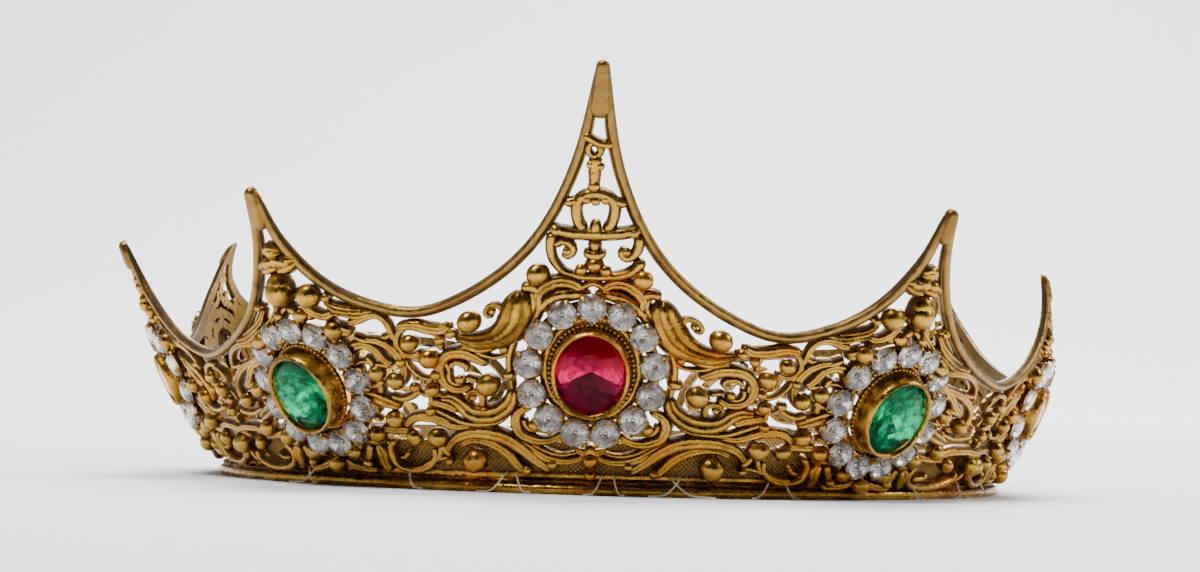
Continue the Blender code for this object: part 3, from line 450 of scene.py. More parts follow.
class FlaredWall:
    """The flared wall: it maps the unrolled drawing onto the crown, in millimetres."""

    def __init__(self) -> None:
        """Set out the azimuths and leans of the peaks, closed round the back."""
        last, first = PEAKS[-1], PEAKS[0]
        self.places = np.array(
            [last.azimuth - 360.0, *(peak.azimuth for peak in PEAKS), first.azimuth + 360.0])
        self.leans = np.array([last.lean, *(peak.lean for peak in PEAKS), first.lean])

    def lean_at(self, azimuth: Array) -> Array:
        """Lean of the wall from the vertical, eased from each peak's lean to the next.

        Args:
            azimuth: angles round the crown in radians.

        Returns:
            The leans in radians.
        """
        degrees = np.degrees(azimuth)
        after = np.clip(np.searchsorted(self.places, degrees), 1, len(self.places) - 1)
        share = (degrees - self.places[after - 1]) / (self.places[after] - self.places[after - 1])
        step = self.leans[after] - self.leans[after - 1]
        return np.radians(self.leans[after - 1] + smooth_step(share) * step)

    def tip_bend(self, azimuth: Array, up: Array) -> tuple[Array, Array]:
        """Pull inwards and sway to the right, as the square of the way up the free peak.

        Args:
            azimuth: angles round the crown in radians.
            up: heights up the slope.

        Returns:
            The pulls and the sways.
        """
        pull = np.zeros_like(up)
        sway = np.zeros_like(up)
        degrees = np.degrees(azimuth)
        for peak, left, right in zip(PEAKS, VALLEYS, VALLEYS[1:]):
            inside = (degrees > left.azimuth) & (degrees < right.azimuth)
            shoulder = 0.5 * (left.height + right.height)
            way = np.clip((up - shoulder) / (peak.height - shoulder), 0.0, None)
            pull += inside * peak.pull * way ** 2
            sway += inside * peak.sway * way ** 2
        return pull, sway

    def place(self, flat: Array) -> Array:
        """Map points of the drawing onto the wall.

        Args:
            flat: rows of along, up and out.

        Returns:
            Rows of x, y and z.
        """
        along, up, out = np.asarray(flat, dtype=float).T
        azimuth = along / BASE_RADIUS
        lean = self.lean_at(azimuth)
        pull, sway = self.tip_bend(azimuth, up)
        radius = BASE_RADIUS + up * np.sin(lean) - pull + out * np.cos(lean)
        turned = azimuth + sway / radius
        height = up * np.cos(lean) - out * np.sin(lean)
        return np.stack([radius * np.sin(turned), -radius * np.cos(turned), height], axis=1)

    def flat_from(self, azimuth: float, local: Array) -> Array:
        """Turn panel points into points of the drawing.

        Args:
            azimuth: the panel's own azimuth in degrees.
            local: rows of across, up and out, measured from that azimuth.

        Returns:
            Rows of along, up and out.
        """
        middle = math.radians(azimuth)
        lean = float(self.lean_at(np.array([middle]))[0])
        flat = np.array(local, dtype=float)
        radius = BASE_RADIUS + flat[:, 1] * math.sin(lean)
        flat[:, 0] = BASE_RADIUS * (middle + flat[:, 0] / radius)
        return flat

    def frames(self, azimuth: float, centres: Array, out: float) -> tuple[Array, Array]:
        """Places and local frames on the wall for small round settings.

        Args:
            azimuth: the panel's azimuth in degrees.
            centres: rows of across and up.
            out: how far out of the wall's middle the places lie.

        Returns:
            Origins, and matrices whose columns run across, up the slope and out.
        """
        step = 0.5
        local = np.column_stack([centres, np.full(len(centres), out)])
        origin = self.place(self.flat_from(azimuth, local))
        aside = self.place(self.flat_from(azimuth, local + (step, 0.0, 0.0)))
        above = self.place(self.flat_from(azimuth, local + (0.0, step, 0.0)))
        across = unit_rows(aside - origin)
        normal = unit_rows(np.cross(across, above - origin))
        return origin, np.stack([across, np.cross(normal, across), normal], axis=2)


WALL = FlaredWall()


@dataclass
class Shell:
    """Growing mesh: vertices in mm, quads, triangles, and how high in the relief each vertex is."""

    vertices: list[Array] = field(default_factory=list)
    quads: list[Array] = field(default_factory=list)
    triangles: list[Array] = field(default_factory=list)
    relief: list[Array] = field(default_factory=list)
    count: int = 0

    def add(self, vertices: Array, quads: Array, triangles: Array, relief: Array) -> None:
        """Append one closed shell and turn its faces outwards.

        Args:
            vertices: rows of x, y and z.
            quads: rows of four indices, counted from the shell's own first vertex.
            triangles: rows of three such indices.
            relief: how high in the relief each vertex is, from 0 to 1.
        """
        quads, triangles = quads.reshape(-1, 4), triangles.reshape(-1, 3)
        if enclosed_volume(vertices, quads, triangles) < 0.0:
            quads, triangles = quads[:, ::-1], triangles[:, ::-1]
        self.vertices.append(vertices)
        self.quads.append(quads + self.count)
        self.triangles.append(triangles + self.count)
        self.relief.append(relief)
        self.count += len(vertices)

    def build(self, name: str, finish: Finish, smooth_angle: float = 40.0) -> bpy.types.Object:
        """Make the mesh object, in metres, at the origin.

        Args:
            name: the piece's name.
            finish: the finish that dresses it.
            smooth_angle: edges sharper than this many degrees stay sharp.

        Returns:
            The new object.
        """
        vertices = np.concatenate(self.vertices) * MM
        quads = np.concatenate(self.quads)
        triangles = np.concatenate(self.triangles)
        mesh = bpy.data.meshes.new(name)
        mesh.vertices.add(len(vertices))
        mesh.vertices.foreach_set("co", vertices.ravel())
        mesh.loops.add(quads.size + triangles.size)
        mesh.loops.foreach_set("vertex_index", np.concatenate([quads.ravel(), triangles.ravel()]))
        starts = np.concatenate([np.arange(len(quads)) * 4, quads.size + np.arange(len(triangles)) * 3])
        mesh.polygons.add(len(starts))
        mesh.polygons.foreach_set("loop_start", starts)
        mesh.update(calc_edges=True)
        # The relief drives the gilding's painted shade in the recesses and painted highlight on the crests
        attribute = mesh.attributes.new("relief", "FLOAT", "POINT")
        attribute.data.foreach_set("value", np.concatenate(self.relief))
        mesh.shade_smooth()
        mesh.set_sharp_from_angle(angle=math.radians(smooth_angle))
        mesh.materials.append(finish.material())
        obj = bpy.data.objects.new(name, mesh)
        bpy.context.scene.collection.objects.link(obj)
        return obj


def enclosed_volume(vertices: Array, quads: Array, triangles: Array) -> float:
    """Volume inside a closed shell, below nought where its faces look inwards.

    Args:
        vertices: rows of x, y and z.
        quads: rows of four indices.
        triangles: rows of three indices.

    Returns:
        A sixth of the sum of the triangles' triple products, measured from the shell's middle.
    """
    corners = np.vstack([quads[:, [0, 1, 2]], quads[:, [0, 2, 3]], triangles])
    first, second, third = (vertices - vertices.mean(axis=0))[corners.T]
    return float(np.sum(first * np.cross(second, third)) / 6.0)


def grid_quads(rows: int, columns: int, close_rows: bool = False) -> Array:
    """Quads of a grid of rows whose columns close into a ring.

    Args:
        rows: number of rings of vertices.
        columns: vertices in a ring.
        close_rows: join the last ring to the first.

    Returns:
        Rows of four indices.
    """
    row = np.arange(rows if close_rows else rows - 1)
    column = np.arange(columns)
    low, left = np.meshgrid(row, column, indexing="ij")
    high, right = (low + 1) % rows, (left + 1) % columns
    corners = [low * columns + left, low * columns + right, high * columns + right, high * columns + left]
    return np.stack(corners, axis=-1).reshape(-1, 4)


def fan_triangles(first: int, columns: int, tip: int, flip: bool) -> Array:
    """Triangles from a ring of vertices to one tip.

    Args:
        first: index of the ring's first vertex.
        columns: vertices in the ring.
        tip: index of the tip vertex.
        flip: turn the triangles over.

    Returns:
        Rows of three indices.
    """
    here = first + np.arange(columns)
    following = first + (np.arange(columns) + 1) % columns
    tips = np.full(columns, tip)
    return np.stack([following, here, tips] if flip else [here, following, tips], axis=1)


def capped_rings(rings: Array, relief: Array, end_relief: Limits, ends: Array | None = None) -> Parts:
    """Closed shell through a row of rings, with a fan of triangles over each end.

    Args:
        rings: array of rings by points by three.
        relief: height in the relief of each point, ring by ring.
        end_relief: heights in the relief of the first and the last end.
        ends: the two end points, or None for the middles of the first and the last ring.

    Returns:
        Vertices, quads, triangles and relief.
    """
    rows, columns = rings.shape[:2]
    tips = rows * columns
    triangles = np.vstack([fan_triangles(0, columns, tips, True),
                           fan_triangles(tips - columns, columns, tips + 1, False)])
    if ends is None:
        ends = rings[[0, -1]].mean(axis=1)
    return (np.vstack([rings.reshape(-1, 3), ends]), grid_quads(rows, columns), triangles,
            np.concatenate([relief.ravel(), end_relief]))


def resample(points: Array, spacing: float, end_reach: Limits) -> tuple[Array, Array]:
    """Smooth curve through points, sampled evenly and closer at its rounded ends.

    Each span is a Catmull-Rom cubic through its two points, with the slopes of their neighbours.

    Args:
        points: rows of any number of coordinates.
        spacing: distance between samples.
        end_reach: length of the rounding at the start and the end.

    Returns:
        The sampled points, and their distances along the curve.
    """
    padded = np.vstack([2.0 * points[0] - points[1], points, 2.0 * points[-1] - points[-2]])
    way = np.linspace(0.0, 1.0, SPAN_SAMPLES, endpoint=False)[:, None]
    spans = []
    for p0, p1, p2, p3 in zip(padded, padded[1:], padded[2:], padded[3:]):
        spans.append(0.5 * (2.0 * p1 + (p2 - p0) * way + (2.0 * p0 - 5.0 * p1 + 4.0 * p2 - p3) * way ** 2
                            + (3.0 * p1 - p0 - 3.0 * p2 + p3) * way ** 3))
    dense = np.vstack(spans + [points[-1:]])
    distance = np.concatenate([[0.0], np.cumsum(np.linalg.norm(np.diff(dense, axis=0), axis=1))])
    total = distance[-1]
    start, end = (min(reach, LONGEST_END * total) for reach in end_reach)
    steps = max(3, int((total - start - end) / spacing) + 2)
    at = np.concatenate([END_SHARES * start, np.linspace(start, total - end, steps),
                         total - END_SHARES[::-1] * end])
    sampled = np.stack([np.interp(at, distance, dense[:, axis]) for axis in range(dense.shape[1])], axis=1)
    return sampled, at


def round_ends(at: Array, start: float, end: float) -> Array:
    """Width share that rounds both ends of a strand off like a quarter circle.

    Args:
        at: distances along the strand.
        start: reach of the rounding at the start.
        end: reach of the rounding at the end.

    Returns:
        Shares from nearly 0 at the ends to 1.
    """
    least = 0.1
    total = at[-1]
    start, end = min(start, LONGEST_END * total), min(end, LONGEST_END * total)
    from_start = np.clip(at / max(start, MM), 0.0, 1.0)
    from_end = np.clip((total - at) / max(end, MM), 0.0, 1.0)
    share = np.sqrt(1.0 - (1.0 - from_start) ** 2) * np.sqrt(1.0 - (1.0 - from_end) ** 2)
    return np.maximum(share, least)


def sideways(points: Array) -> Array:
    """Unit normals, to the left, of a line of points in the plane.

    Args:
        points: rows of across and up.

    Returns:
        Rows of the normals.
    """
    tangent = unit_rows(np.gradient(points, axis=0))
    return np.stack([-tangent[:, 1], tangent[:, 0]], axis=1)


def section(form: Form) -> Array:
    """Cross-section of a strand: shares across from -1 to 1 and of the crest.

    The crest is a power of one less the square of the share across, the half for a round wire and a
    lower one for the fuller forms. Where the form has flutes it is lowered between them, by the depth
    times one less the size of the sine.

    Args:
        form: the strand's form.

    Returns:
        Rows of share across and share of the crest.
    """
    round_power, full_power = 0.5, 0.36
    flutes, samples, _, depth = form.value
    across = np.linspace(-1.0, 1.0, samples)
    crest = (1.0 - across ** 2) ** (round_power if form is Form.WIRE else full_power)
    if flutes:
        crest = crest * (1.0 - depth * (1.0 - np.abs(np.sin(0.5 * math.pi * flutes * (across + 1.0)))))
    return np.stack([across, crest], axis=1)


def strand(stroke: Stroke, spacing: float = 0.42) -> Parts:
    """Closed shell of a strand, flat at the back and rounded at both ends.

    Args:
        stroke: the strand's drawing.
        spacing: distance between its sections.

    Returns:
        Local vertices of across, up and out, quads, triangles and relief.
    """
    edge_out, foot_share, end_relief = 0.2, 0.9, 0.35
    half = 0.5 * np.array(stroke.widths)
    spine, at = resample(np.array(stroke.spine, dtype=float), spacing, (half[0], half[-1]))
    places = np.linspace(0.0, 1.0, len(half))
    rounding = round_ends(at, half[0], half[-1])
    width = np.interp(at / at[-1], places, half) * rounding
    crest = (FACE - edge_out) * rounding + stroke.form.crest_share * width
    profile = section(stroke.form)
    across = np.concatenate([[-foot_share], profile[:, 0], [foot_share]])
    raised = np.concatenate([[0.0], profile[:, 1], [0.0]])
    offset = across[None, :] * width[:, None]
    vertices = np.empty((len(spine), len(across), 3))
    vertices[:, :, :2] = spine[:, None, :] - sideways(spine)[:, None, :] * offset[:, :, None]
    vertices[:, :, 2] = edge_out + raised[None, :] * crest[:, None]
    vertices[:, [0, -1], 2] = BACK
    relief = raised ** 2 * (end_relief + (1.0 - end_relief) * rounding[:, None])
    relief[:, [0, -1]] = BACK_RELIEF
    return capped_rings(vertices, relief, (BACK_RELIEF, BACK_RELIEF))


def ball_shell(ball: Ball, rings: int = 9, segments: int = 14) -> Parts:
    """Closed shell of a raised ball that stands on the wall, its foot sunk in it.

    Args:
        ball: the ball's drawing.
        rings: rings of vertices from the top to the foot.
        segments: vertices in a ring.

    Returns:
        Local vertices of across, up and out, quads, triangles and relief.
    """
    steepest = math.radians(132.0)
    foot_out = BACK + 0.3
    polar = np.linspace(steepest / rings, steepest, rings)[:, None]
    turn = np.linspace(0.0, 2.0 * math.pi, segments, endpoint=False)[None, :]
    vertices = np.empty((rings, segments, 3))
    vertices[:, :, 0] = ball.across + ball.radius * np.sin(polar) * np.cos(turn)
    vertices[:, :, 1] = ball.up + ball.radius * np.sin(polar) * np.sin(turn)
    vertices[:, :, 2] = FACE + ball.radius * (BALL_LIFT + np.cos(polar))
    vertices[-1, :, 2] = np.minimum(vertices[-1, :, 2], foot_out)
    relief = np.broadcast_to(0.5 + 0.5 * np.cos(polar), (rings, segments))
    top = (ball.across, ball.up, FACE + ball.radius * (BALL_LIFT + 1.0))
    foot = (ball.across, ball.up, foot_out)
    return capped_rings(vertices, relief, (1.0, BACK_RELIEF), np.array([top, foot]))


def swept_ring(sections: Array, relief: Array) -> Parts:
    """Closed ring: one profile carried round a closed line.

    Args:
        sections: array of sections by profile points by three.
        relief: height in the relief of each profile point.

    Returns:
        Vertices, quads, no triangles, and relief.
    """
    count, columns = sections.shape[:2]
    return (sections.reshape(-1, 3), grid_quads(count, columns, close_rows=True),
            np.empty((0, 3), dtype=int), np.tile(relief, count))


def spin_matrix(angle: float) -> Array:
    """Turn by an angle in radians about the third axis."""
    cosine, sine = math.cos(angle), math.sin(angle)
    return np.array([[cosine, -sine, 0.0], [sine, cosine, 0.0], [0.0, 0.0, 1.0]])


def add_on_wall(shell: Shell, part: Parts, azimuth: float) -> None:
    """Map a panel's local shell onto the wall and add it to a growing mesh.

    Args:
        shell: the growing mesh.
        part: the local shell.
        azimuth: the panel's azimuth in degrees.
    """
    vertices, quads, triangles, relief = part
    shell.add(WALL.place(WALL.flat_from(azimuth, vertices)), quads, triangles, relief)


def add_scaled(shell: Shell, pattern: Pattern, azimuth: float, scales: Limits, shrink: float = 1.0) -> None:
    """Add a pattern's strands and balls to a growing mesh, scaled across and up.

    Args:
        shell: the growing mesh.
        pattern: the drawing.
        azimuth: the azimuth in degrees from which the drawing is measured.
        scales: the scale across, below nought where it is turned over, and the scale up.
        shrink: the scale of the balls' radii.
    """
    stretch, rise = scales
    for stroke in pattern.strokes:
        spine = tuple((across * stretch, up * rise) for across, up in stroke.spine)
        add_on_wall(shell, strand(Stroke(stroke.form, stroke.widths, spine)), azimuth)
    for ball in pattern.balls:
        placed = Ball(ball.across * stretch, ball.up * rise, ball.radius * shrink)
        add_on_wall(shell, ball_shell(placed), azimuth)


@dataclass(frozen=True)
class PanelHalf:
    """Half of a panel: it fits a pattern that was drawn on one half to the sizes of another."""

    peak: Peak
    valley: Valley
    side: int

    @property
    def valley_width(self) -> float:
        """Half width of the panel at the valley."""
        radius = BASE_RADIUS + self.valley.height * math.sin(math.radians(self.peak.lean))
        return abs(math.radians(self.valley.azimuth - self.peak.azimuth)) * radius

    def wreath_reach(self) -> Limits:
        """Half width and half height over the wreath's cups."""
        cup = 2.3
        setting = self.peak.setting
        return setting.wreath_half_width + cup, setting.wreath_half_height + cup

    def rim_half_width(self, up: Array) -> Array:
        """Half width to the rim's middle at heights up the slope.

        Args:
            up: heights up the slope.

        Returns:
            The half widths.
        """
        rise = (up - self.valley.height) / (self.peak.height - self.valley.height)
        shares = np.interp(rise, [row[1] for row in SWEEP_ROWS], [row[0] for row in SWEEP_ROWS])
        return TIP_HALF_WIDTH + shares * (self.valley_width - TIP_HALF_WIDTH)

    def levels(self) -> tuple[float, float, float, float]:
        """Heights of the foot, the wreath's lower and upper edge, and the tip."""
        reach = self.wreath_reach()[1]
        return 0.0, self.peak.stone_up - reach, self.peak.stone_up + reach, self.peak.height

    def fit(self, points: Array, drawn: PanelHalf) -> tuple[Array, Array]:
        """Fit points of a pattern to this half, which lies to its own side of the middle.

        Under the valley a point keeps its share of the way across the panel. Over it the point keeps
        its share of the rim's half width at its height.

        Args:
            points: rows of across and up, as drawn.
            drawn: the half on which the pattern was drawn.

        Returns:
            The fitted points, and the share by which widths and radii shrink at each.
        """
        free_lead, free_reach = 1.0, 4.0
        across, up = points[:, 0], points[:, 1]
        size = np.abs(across)
        spread = np.interp(size, [0.0, drawn.wreath_reach()[0], drawn.valley_width],
                           [0.0, self.wreath_reach()[0], self.valley_width])
        spread += np.maximum(size - drawn.valley_width, 0.0)
        over_middle = np.interp(up, drawn.levels(), self.levels())
        over_valley = np.interp(up, [0.0, drawn.valley.height, drawn.peak.height],
                                [0.0, self.valley.height, self.peak.height])
        blend = smooth_step(size / drawn.valley_width)
        fitted_up = (1.0 - blend) * over_middle + blend * over_valley
        free = smooth_step((up - drawn.valley.height + free_lead) / free_reach)
        ratio = self.rim_half_width(fitted_up) / drawn.rim_half_width(up)
        fitted = (1.0 - free) * spread + free * size * ratio
        shrink = 1.0 - free * (1.0 - np.minimum(1.0, ratio))
        return np.stack([np.sign(across) * self.side * fitted, fitted_up], axis=1), shrink


def half_of(name: str, side: int) -> PanelHalf:
    """The half of the named panel on a side, -1 for left and 1 for right."""
    index = [peak.name for peak in PEAKS].index(name)
    return PanelHalf(PEAKS[index], VALLEYS[index if side < 0 else index + 1], side)


FRONT_DRAWN = half_of("front", -1)
SIDE_DRAWN = half_of("left_1", 1)


class NodeBuilder:
    """Small helper that adds and joins the nodes of one material."""

    def __init__(self, name: str) -> None:
        """Start a material with its Principled shader."""
        self.done = bpy.data.materials.new(name)
        self.done.use_nodes = True
        self.tree = self.done.node_tree
        self.shader = self.tree.nodes["Principled BSDF"]

    def add(self, kind: str, **settings: object) -> bpy.types.Node:
        """Add a node of a kind and set its named properties."""
        node = self.tree.nodes.new(kind)
        for name, value in settings.items():
            setattr(node, name, value)
        return node

    def link(self, source: object, target: Socket) -> None:
        """Join a socket to a target, or set the target to a number or a colour."""
        if isinstance(source, Socket):
            self.tree.links.new(source, target)
        elif isinstance(source, tuple):
            target.default_value = (*source, 1.0)
        else:
            target.default_value = source

    def shade(self, inputs: dict[str, object]) -> None:
        """Join sockets, numbers or colours to the shader's named inputs."""
        for name, source in inputs.items():
            self.link(source, self.shader.inputs[name])

    def object_place(self) -> Socket:
        """Place on the object, in metres."""
        return self.add("ShaderNodeTexCoord").outputs["Object"]

    def split(self, place: Socket) -> bpy.types.bpy_prop_collection:
        """The three coordinates of a place, as sockets named X, Y and Z."""
        node = self.add("ShaderNodeSeparateXYZ")
        self.link(place, node.inputs[0])
        return node.outputs

    def noise(self, place: Socket, scale: float, detail: float) -> Socket:
        """Noise of a scale in waves to the metre."""
        node = self.add("ShaderNodeTexNoise")
        node.inputs["Scale"].default_value = scale
        node.inputs["Detail"].default_value = detail
        self.link(place, node.inputs["Vector"])
        return node.outputs["Fac"]

    def math(self, operation: str, first: object, second: object) -> Socket:
        """Result of an operation on two sockets or numbers."""
        node = self.add("ShaderNodeMath", operation=operation)
        self.link(first, node.inputs[0])
        self.link(second, node.inputs[1])
        return node.outputs[0]

    def map_range(self, value: object, source: Limits, target: Limits) -> Socket:
        """A value mapped from one range to another and clamped."""
        node = self.add("ShaderNodeMapRange")
        for key, amount in zip(("From Min", "From Max", "To Min", "To Max"), source + target):
            node.inputs[key].default_value = amount
        self.link(value, node.inputs["Value"])
        return node.outputs["Result"]

    def ramp(self, value: object, limits: Limits) -> Socket:
        """A value eased from 0 to 1 between two limits."""
        node = self.map_range(value, limits, (0.0, 1.0)).node
        node.interpolation_type = "SMOOTHSTEP"
        return node.outputs["Result"]

    def mix(self, share: object, first: object, second: object) -> Socket:
        """Colour between two colours."""
        node = self.add("ShaderNodeMix", data_type="RGBA")
        self.link(share, node.inputs[0])
        self.link(first, node.inputs[6])
        self.link(second, node.inputs[7])
        return node.outputs[2]

    def bump(self, height: object, strength: float, distance: float) -> None:
        """Bump the shader's surface by a height."""
        node = self.add("ShaderNodeBump")
        node.inputs["Strength"].default_value = strength
        node.inputs["Distance"].default_value = distance
        self.link(height, node.inputs["Height"])
        self.link(node.outputs["Normal"], self.shader.inputs["Normal"])


@dataclass(frozen=True)
class Finish:
    """A finish of pieces. Its material is made once and then shared."""

    name: str

    def material(self) -> bpy.types.Material:
        """The finish as a material."""
        made = bpy.data.materials.get(self.name)
        if made:
            return made
        nodes = NodeBuilder(self.name)
        self.dress(nodes)
        return nodes.done

    def dress(self, nodes: NodeBuilder) -> None:
        """Set and join the nodes, in a way of its own for each kind of finish."""
        raise NotImplementedError


@dataclass(frozen=True)
class Gilding(Finish):
    """Aged gilding: crests brighter, as painted highlight and rubbed wear; recesses darker, as painted shade
    with brown dirt; with orange and bare patches.
    """

    name: str = "aged_gilt"
    # Colours of the crests (painted highlight with rubbed wear), the middle, and the recesses (painted shade
    # with brown dirt)
    bright: Colour = (0.51, 0.275, 0.040)
    middle: Colour = (0.22, 0.105, 0.013)
    recess_shade_and_grime: Colour = (0.075, 0.029, 0.006)
    stain: Colour = (0.40, 0.13, 0.012)
    stain_amount: float = 0.6
    rough_low: float = 0.17
    rough_high: float = 0.40
    bump: float = 0.45
    grain: float = 1100.0
    mottle: float = 380.0
    broad: float = 110.0
    grain_limits: Limits = (0.3, 0.7)
    metal_limits: Limits = (0.0, 0.6)
    # Ramps on relief and wear: the first paints highlight on the crests, the third paints shade and dirt in
    # the recesses
    crest_limits: Limits = (0.45, 0.95)
    stain_limits: Limits = (0.50, 0.66)
    clean_and_lit_limits: Limits = (0.10, 0.58)
    # Recesses are less metallic, as part of their painted shade and dirt
    shade_and_grime_metallic: float = 0.35
    dirt_roughness: float = 0.35
    broad_bump: float = 1.5
    bump_depth: float = 0.0003

    def dress(self, nodes: NodeBuilder) -> None:
        """Set the nodes, from noise on Object coordinates and the relief attribute.

        The wear and painted shade mask is the relief plus the broad and the mottled noise, each less a half.
        Its crests are painted bright, as highlight and wear; its low places take the recess colour, painted
        shade with dirt, and there it is rougher and less metallic.
        """
        place = nodes.object_place()
        relief = nodes.add("ShaderNodeAttribute", attribute_name="relief").outputs["Fac"]
        broad = nodes.noise(place, self.broad, detail=4.0)
        fine = nodes.noise(place, self.grain, detail=4.0)
        mottle = nodes.math("SUBTRACT", nodes.noise(place, self.mottle, detail=3.0), 0.5)
        uneven = nodes.math("ADD", nodes.math("SUBTRACT", broad, 0.5), mottle)
        # Relief and wear together: low relief gets painted shade, high relief painted highlight
        worn_and_shaded = nodes.math("ADD", relief, uneven)
        gold = nodes.mix(nodes.ramp(worn_and_shaded, self.crest_limits), self.middle, self.bright)
        patch = nodes.math("MULTIPLY", nodes.ramp(broad, self.stain_limits), self.stain_amount)
        stained = nodes.mix(patch, gold, self.stain)
        # Share outside the recesses' painted shade and dirt
        clean_and_lit = nodes.ramp(worn_and_shaded, self.clean_and_lit_limits)
        polish = nodes.map_range(fine, self.grain_limits, (self.rough_low, self.rough_high))
        dirt = nodes.map_range(clean_and_lit, (0.0, 1.0), (self.dirt_roughness, 0.0))
        nodes.shade({"Base Color": nodes.mix(clean_and_lit, self.recess_shade_and_grime, stained),
                     "Metallic": nodes.map_range(clean_and_lit, self.metal_limits, (self.shade_and_grime_metallic, 1.0)),
                     "Roughness": nodes.math("ADD", polish, dirt)})
        height = nodes.math("ADD", fine, nodes.math("MULTIPLY", broad, self.broad_bump))
        nodes.bump(height, self.bump, self.bump_depth)


@dataclass(frozen=True)
class WovenBand(Finish):
    """Dull gilding with the fine woven face of the band behind the foot."""

    name: str = "woven_gilt"
    colour: Colour = (0.50, 0.31, 0.085)
    dark: Colour = (0.15, 0.075, 0.018)
    threads_round: int = 560
    turns_per_metre: float = 9500.0
    weave_limits: Limits = (-0.2, 1.0)
    mottle: float = 160.0
    mottle_limits: Limits = (0.35, 0.65)
    mottle_shade: Limits = (0.55, 1.0)
    roughness: float = 0.6
    bump: float = 0.5
    bump_depth: float = 0.0002

    def dress(self, nodes: NodeBuilder) -> None:
        """Set the nodes: two sets of threads that cross, from the angle and the height.

        Each set is the sine of the number of threads times the angle, plus or minus the height's turns.
        """
        place = nodes.object_place()
        part = nodes.split(place)
        angle = nodes.math("ARCTAN2", part["X"], part["Y"])
        around = nodes.math("MULTIPLY", angle, float(self.threads_round))
        height = nodes.math("MULTIPLY", part["Z"], self.turns_per_metre)
        rising = nodes.math("SINE", nodes.math("ADD", around, height), 0.0)
        falling = nodes.math("SINE", nodes.math("SUBTRACT", around, height), 0.0)
        weave = nodes.map_range(nodes.math("MAXIMUM", rising, falling), self.weave_limits, (0.0, 1.0))
        broad = nodes.noise(place, self.mottle, detail=3.0)
        shade = nodes.math("MULTIPLY", weave, nodes.map_range(broad, self.mottle_limits, self.mottle_shade))
        nodes.shade({"Base Color": nodes.mix(shade, self.dark, self.colour), "Metallic": 1.0,
                     "Roughness": self.roughness})
        nodes.bump(weave, self.bump, self.bump_depth)


@dataclass(frozen=True)
class CutGlass(Finish):
    """Polished glass, coloured or clear."""

    colour: Colour
    transmission: float = 1.0
    roughness: float = 0.03
    ior: float = 1.55
    shine: float = 0.5

    def dress(self, nodes: NodeBuilder) -> None:
        """Set the shader as glass."""
        nodes.shade({"Base Color": self.colour, "Transmission Weight": self.transmission,
                     "Roughness": self.roughness, "IOR": self.ior, "Specular IOR Level": self.shine})


@dataclass(frozen=True)
class Foil(Finish):
    """Coloured foil behind a stone, a little crinkled, and in some darker towards the top, a painted shadow
    of the bezel's lip.
    """

    colour: Colour
    dark: Colour
    # Painted shadow of the lip: its colour, and the heights over which the foil fades into it
    shade: Colour | None = None
    shade_heights: Limits = (0.0165, 0.0225)
    metallic: float = 0.88
    roughness: float = 0.08
    crinkle: float = 0.13
    crinkle_depth: float = 0.0002
    clouds: float = 900.0
    cloud_limits: Limits = (0.36, 0.60)

    def dress(self, nodes: NodeBuilder) -> None:
        """Set the nodes as a metal with clouds on Object coordinates."""
        place = nodes.object_place()
        clouds = nodes.noise(place, self.clouds, detail=3.0)
        tone = nodes.mix(nodes.ramp(clouds, self.cloud_limits), self.dark, self.colour)
        # Painted shadow: the foil darkens towards the top
        if self.shade:
            tone = nodes.mix(nodes.ramp(nodes.split(place)["Z"], self.shade_heights), tone, self.shade)
        nodes.shade({"Base Color": tone, "Metallic": self.metallic, "Roughness": self.roughness})
        nodes.bump(clouds, self.crinkle, self.crinkle_depth)


@dataclass(frozen=True)
class Plain(Finish):
    """One plain colour."""

    colour: Colour
    roughness: float

    def dress(self, nodes: NodeBuilder) -> None:
        """Set the shader's colour and roughness."""
        nodes.shade({"Base Color": self.colour, "Roughness": self.roughness})


GILT = Gilding()
# Rim gilding: its deep colour is painted shade with dirt in the recesses, its bright colour painted highlight
# with wear on the crests
RIM_GILT = Gilding(name="rim_gilt", bright=(0.30, 0.165, 0.040), middle=(0.125, 0.066, 0.017),
                   recess_shade_and_grime=(0.045, 0.022, 0.006), stain=(0.12, 0.055, 0.014), rough_low=0.26, rough_high=0.48)
BAND = WovenBand()
GLASSES = {
    "ruby": CutGlass("cut_ruby", (0.88, 0.015, 0.27), ior=1.2, shine=0.2),
    "green": CutGlass("cut_green", (0.01, 0.60, 0.31), ior=1.2, shine=0.2),
    "amber": CutGlass("cut_amber", (0.95, 0.36, 0.05), ior=1.25, shine=0.2),
    "blue": CutGlass("cut_blue", (0.50, 0.74, 0.98), ior=1.47),
}
PASTE = CutGlass("cut_paste", (0.97, 0.96, 0.95))
FOILS = {
    # The ruby and green foils carry a painted shadow of the lip at the top
    "ruby": Foil("ruby_foil", (0.98, 0.13, 0.43), (0.50, 0.02, 0.14),
                 shade=(0.12, 0.003, 0.025), shade_heights=(0.0155, 0.0210)),
    "green": Foil("green_foil", (0.20, 0.86, 0.64), (0.02, 0.28, 0.17),
                  shade=(0.006, 0.075, 0.04), shade_heights=(0.0135, 0.0195)),
    "amber": Foil("amber_foil", (1.0, 0.55, 0.16), (0.45, 0.18, 0.03)),
    "blue": Foil("blue_foil", (0.60, 0.80, 1.0), (0.22, 0.36, 0.60)),
    "paste": Foil("paste_foil", (0.98, 0.95, 0.91), (0.46, 0.42, 0.37),
                  metallic=0.8, roughness=0.16, crinkle=0.7),
}
THREAD = Plain("thread", (0.70, 0.60, 0.44), 0.8)


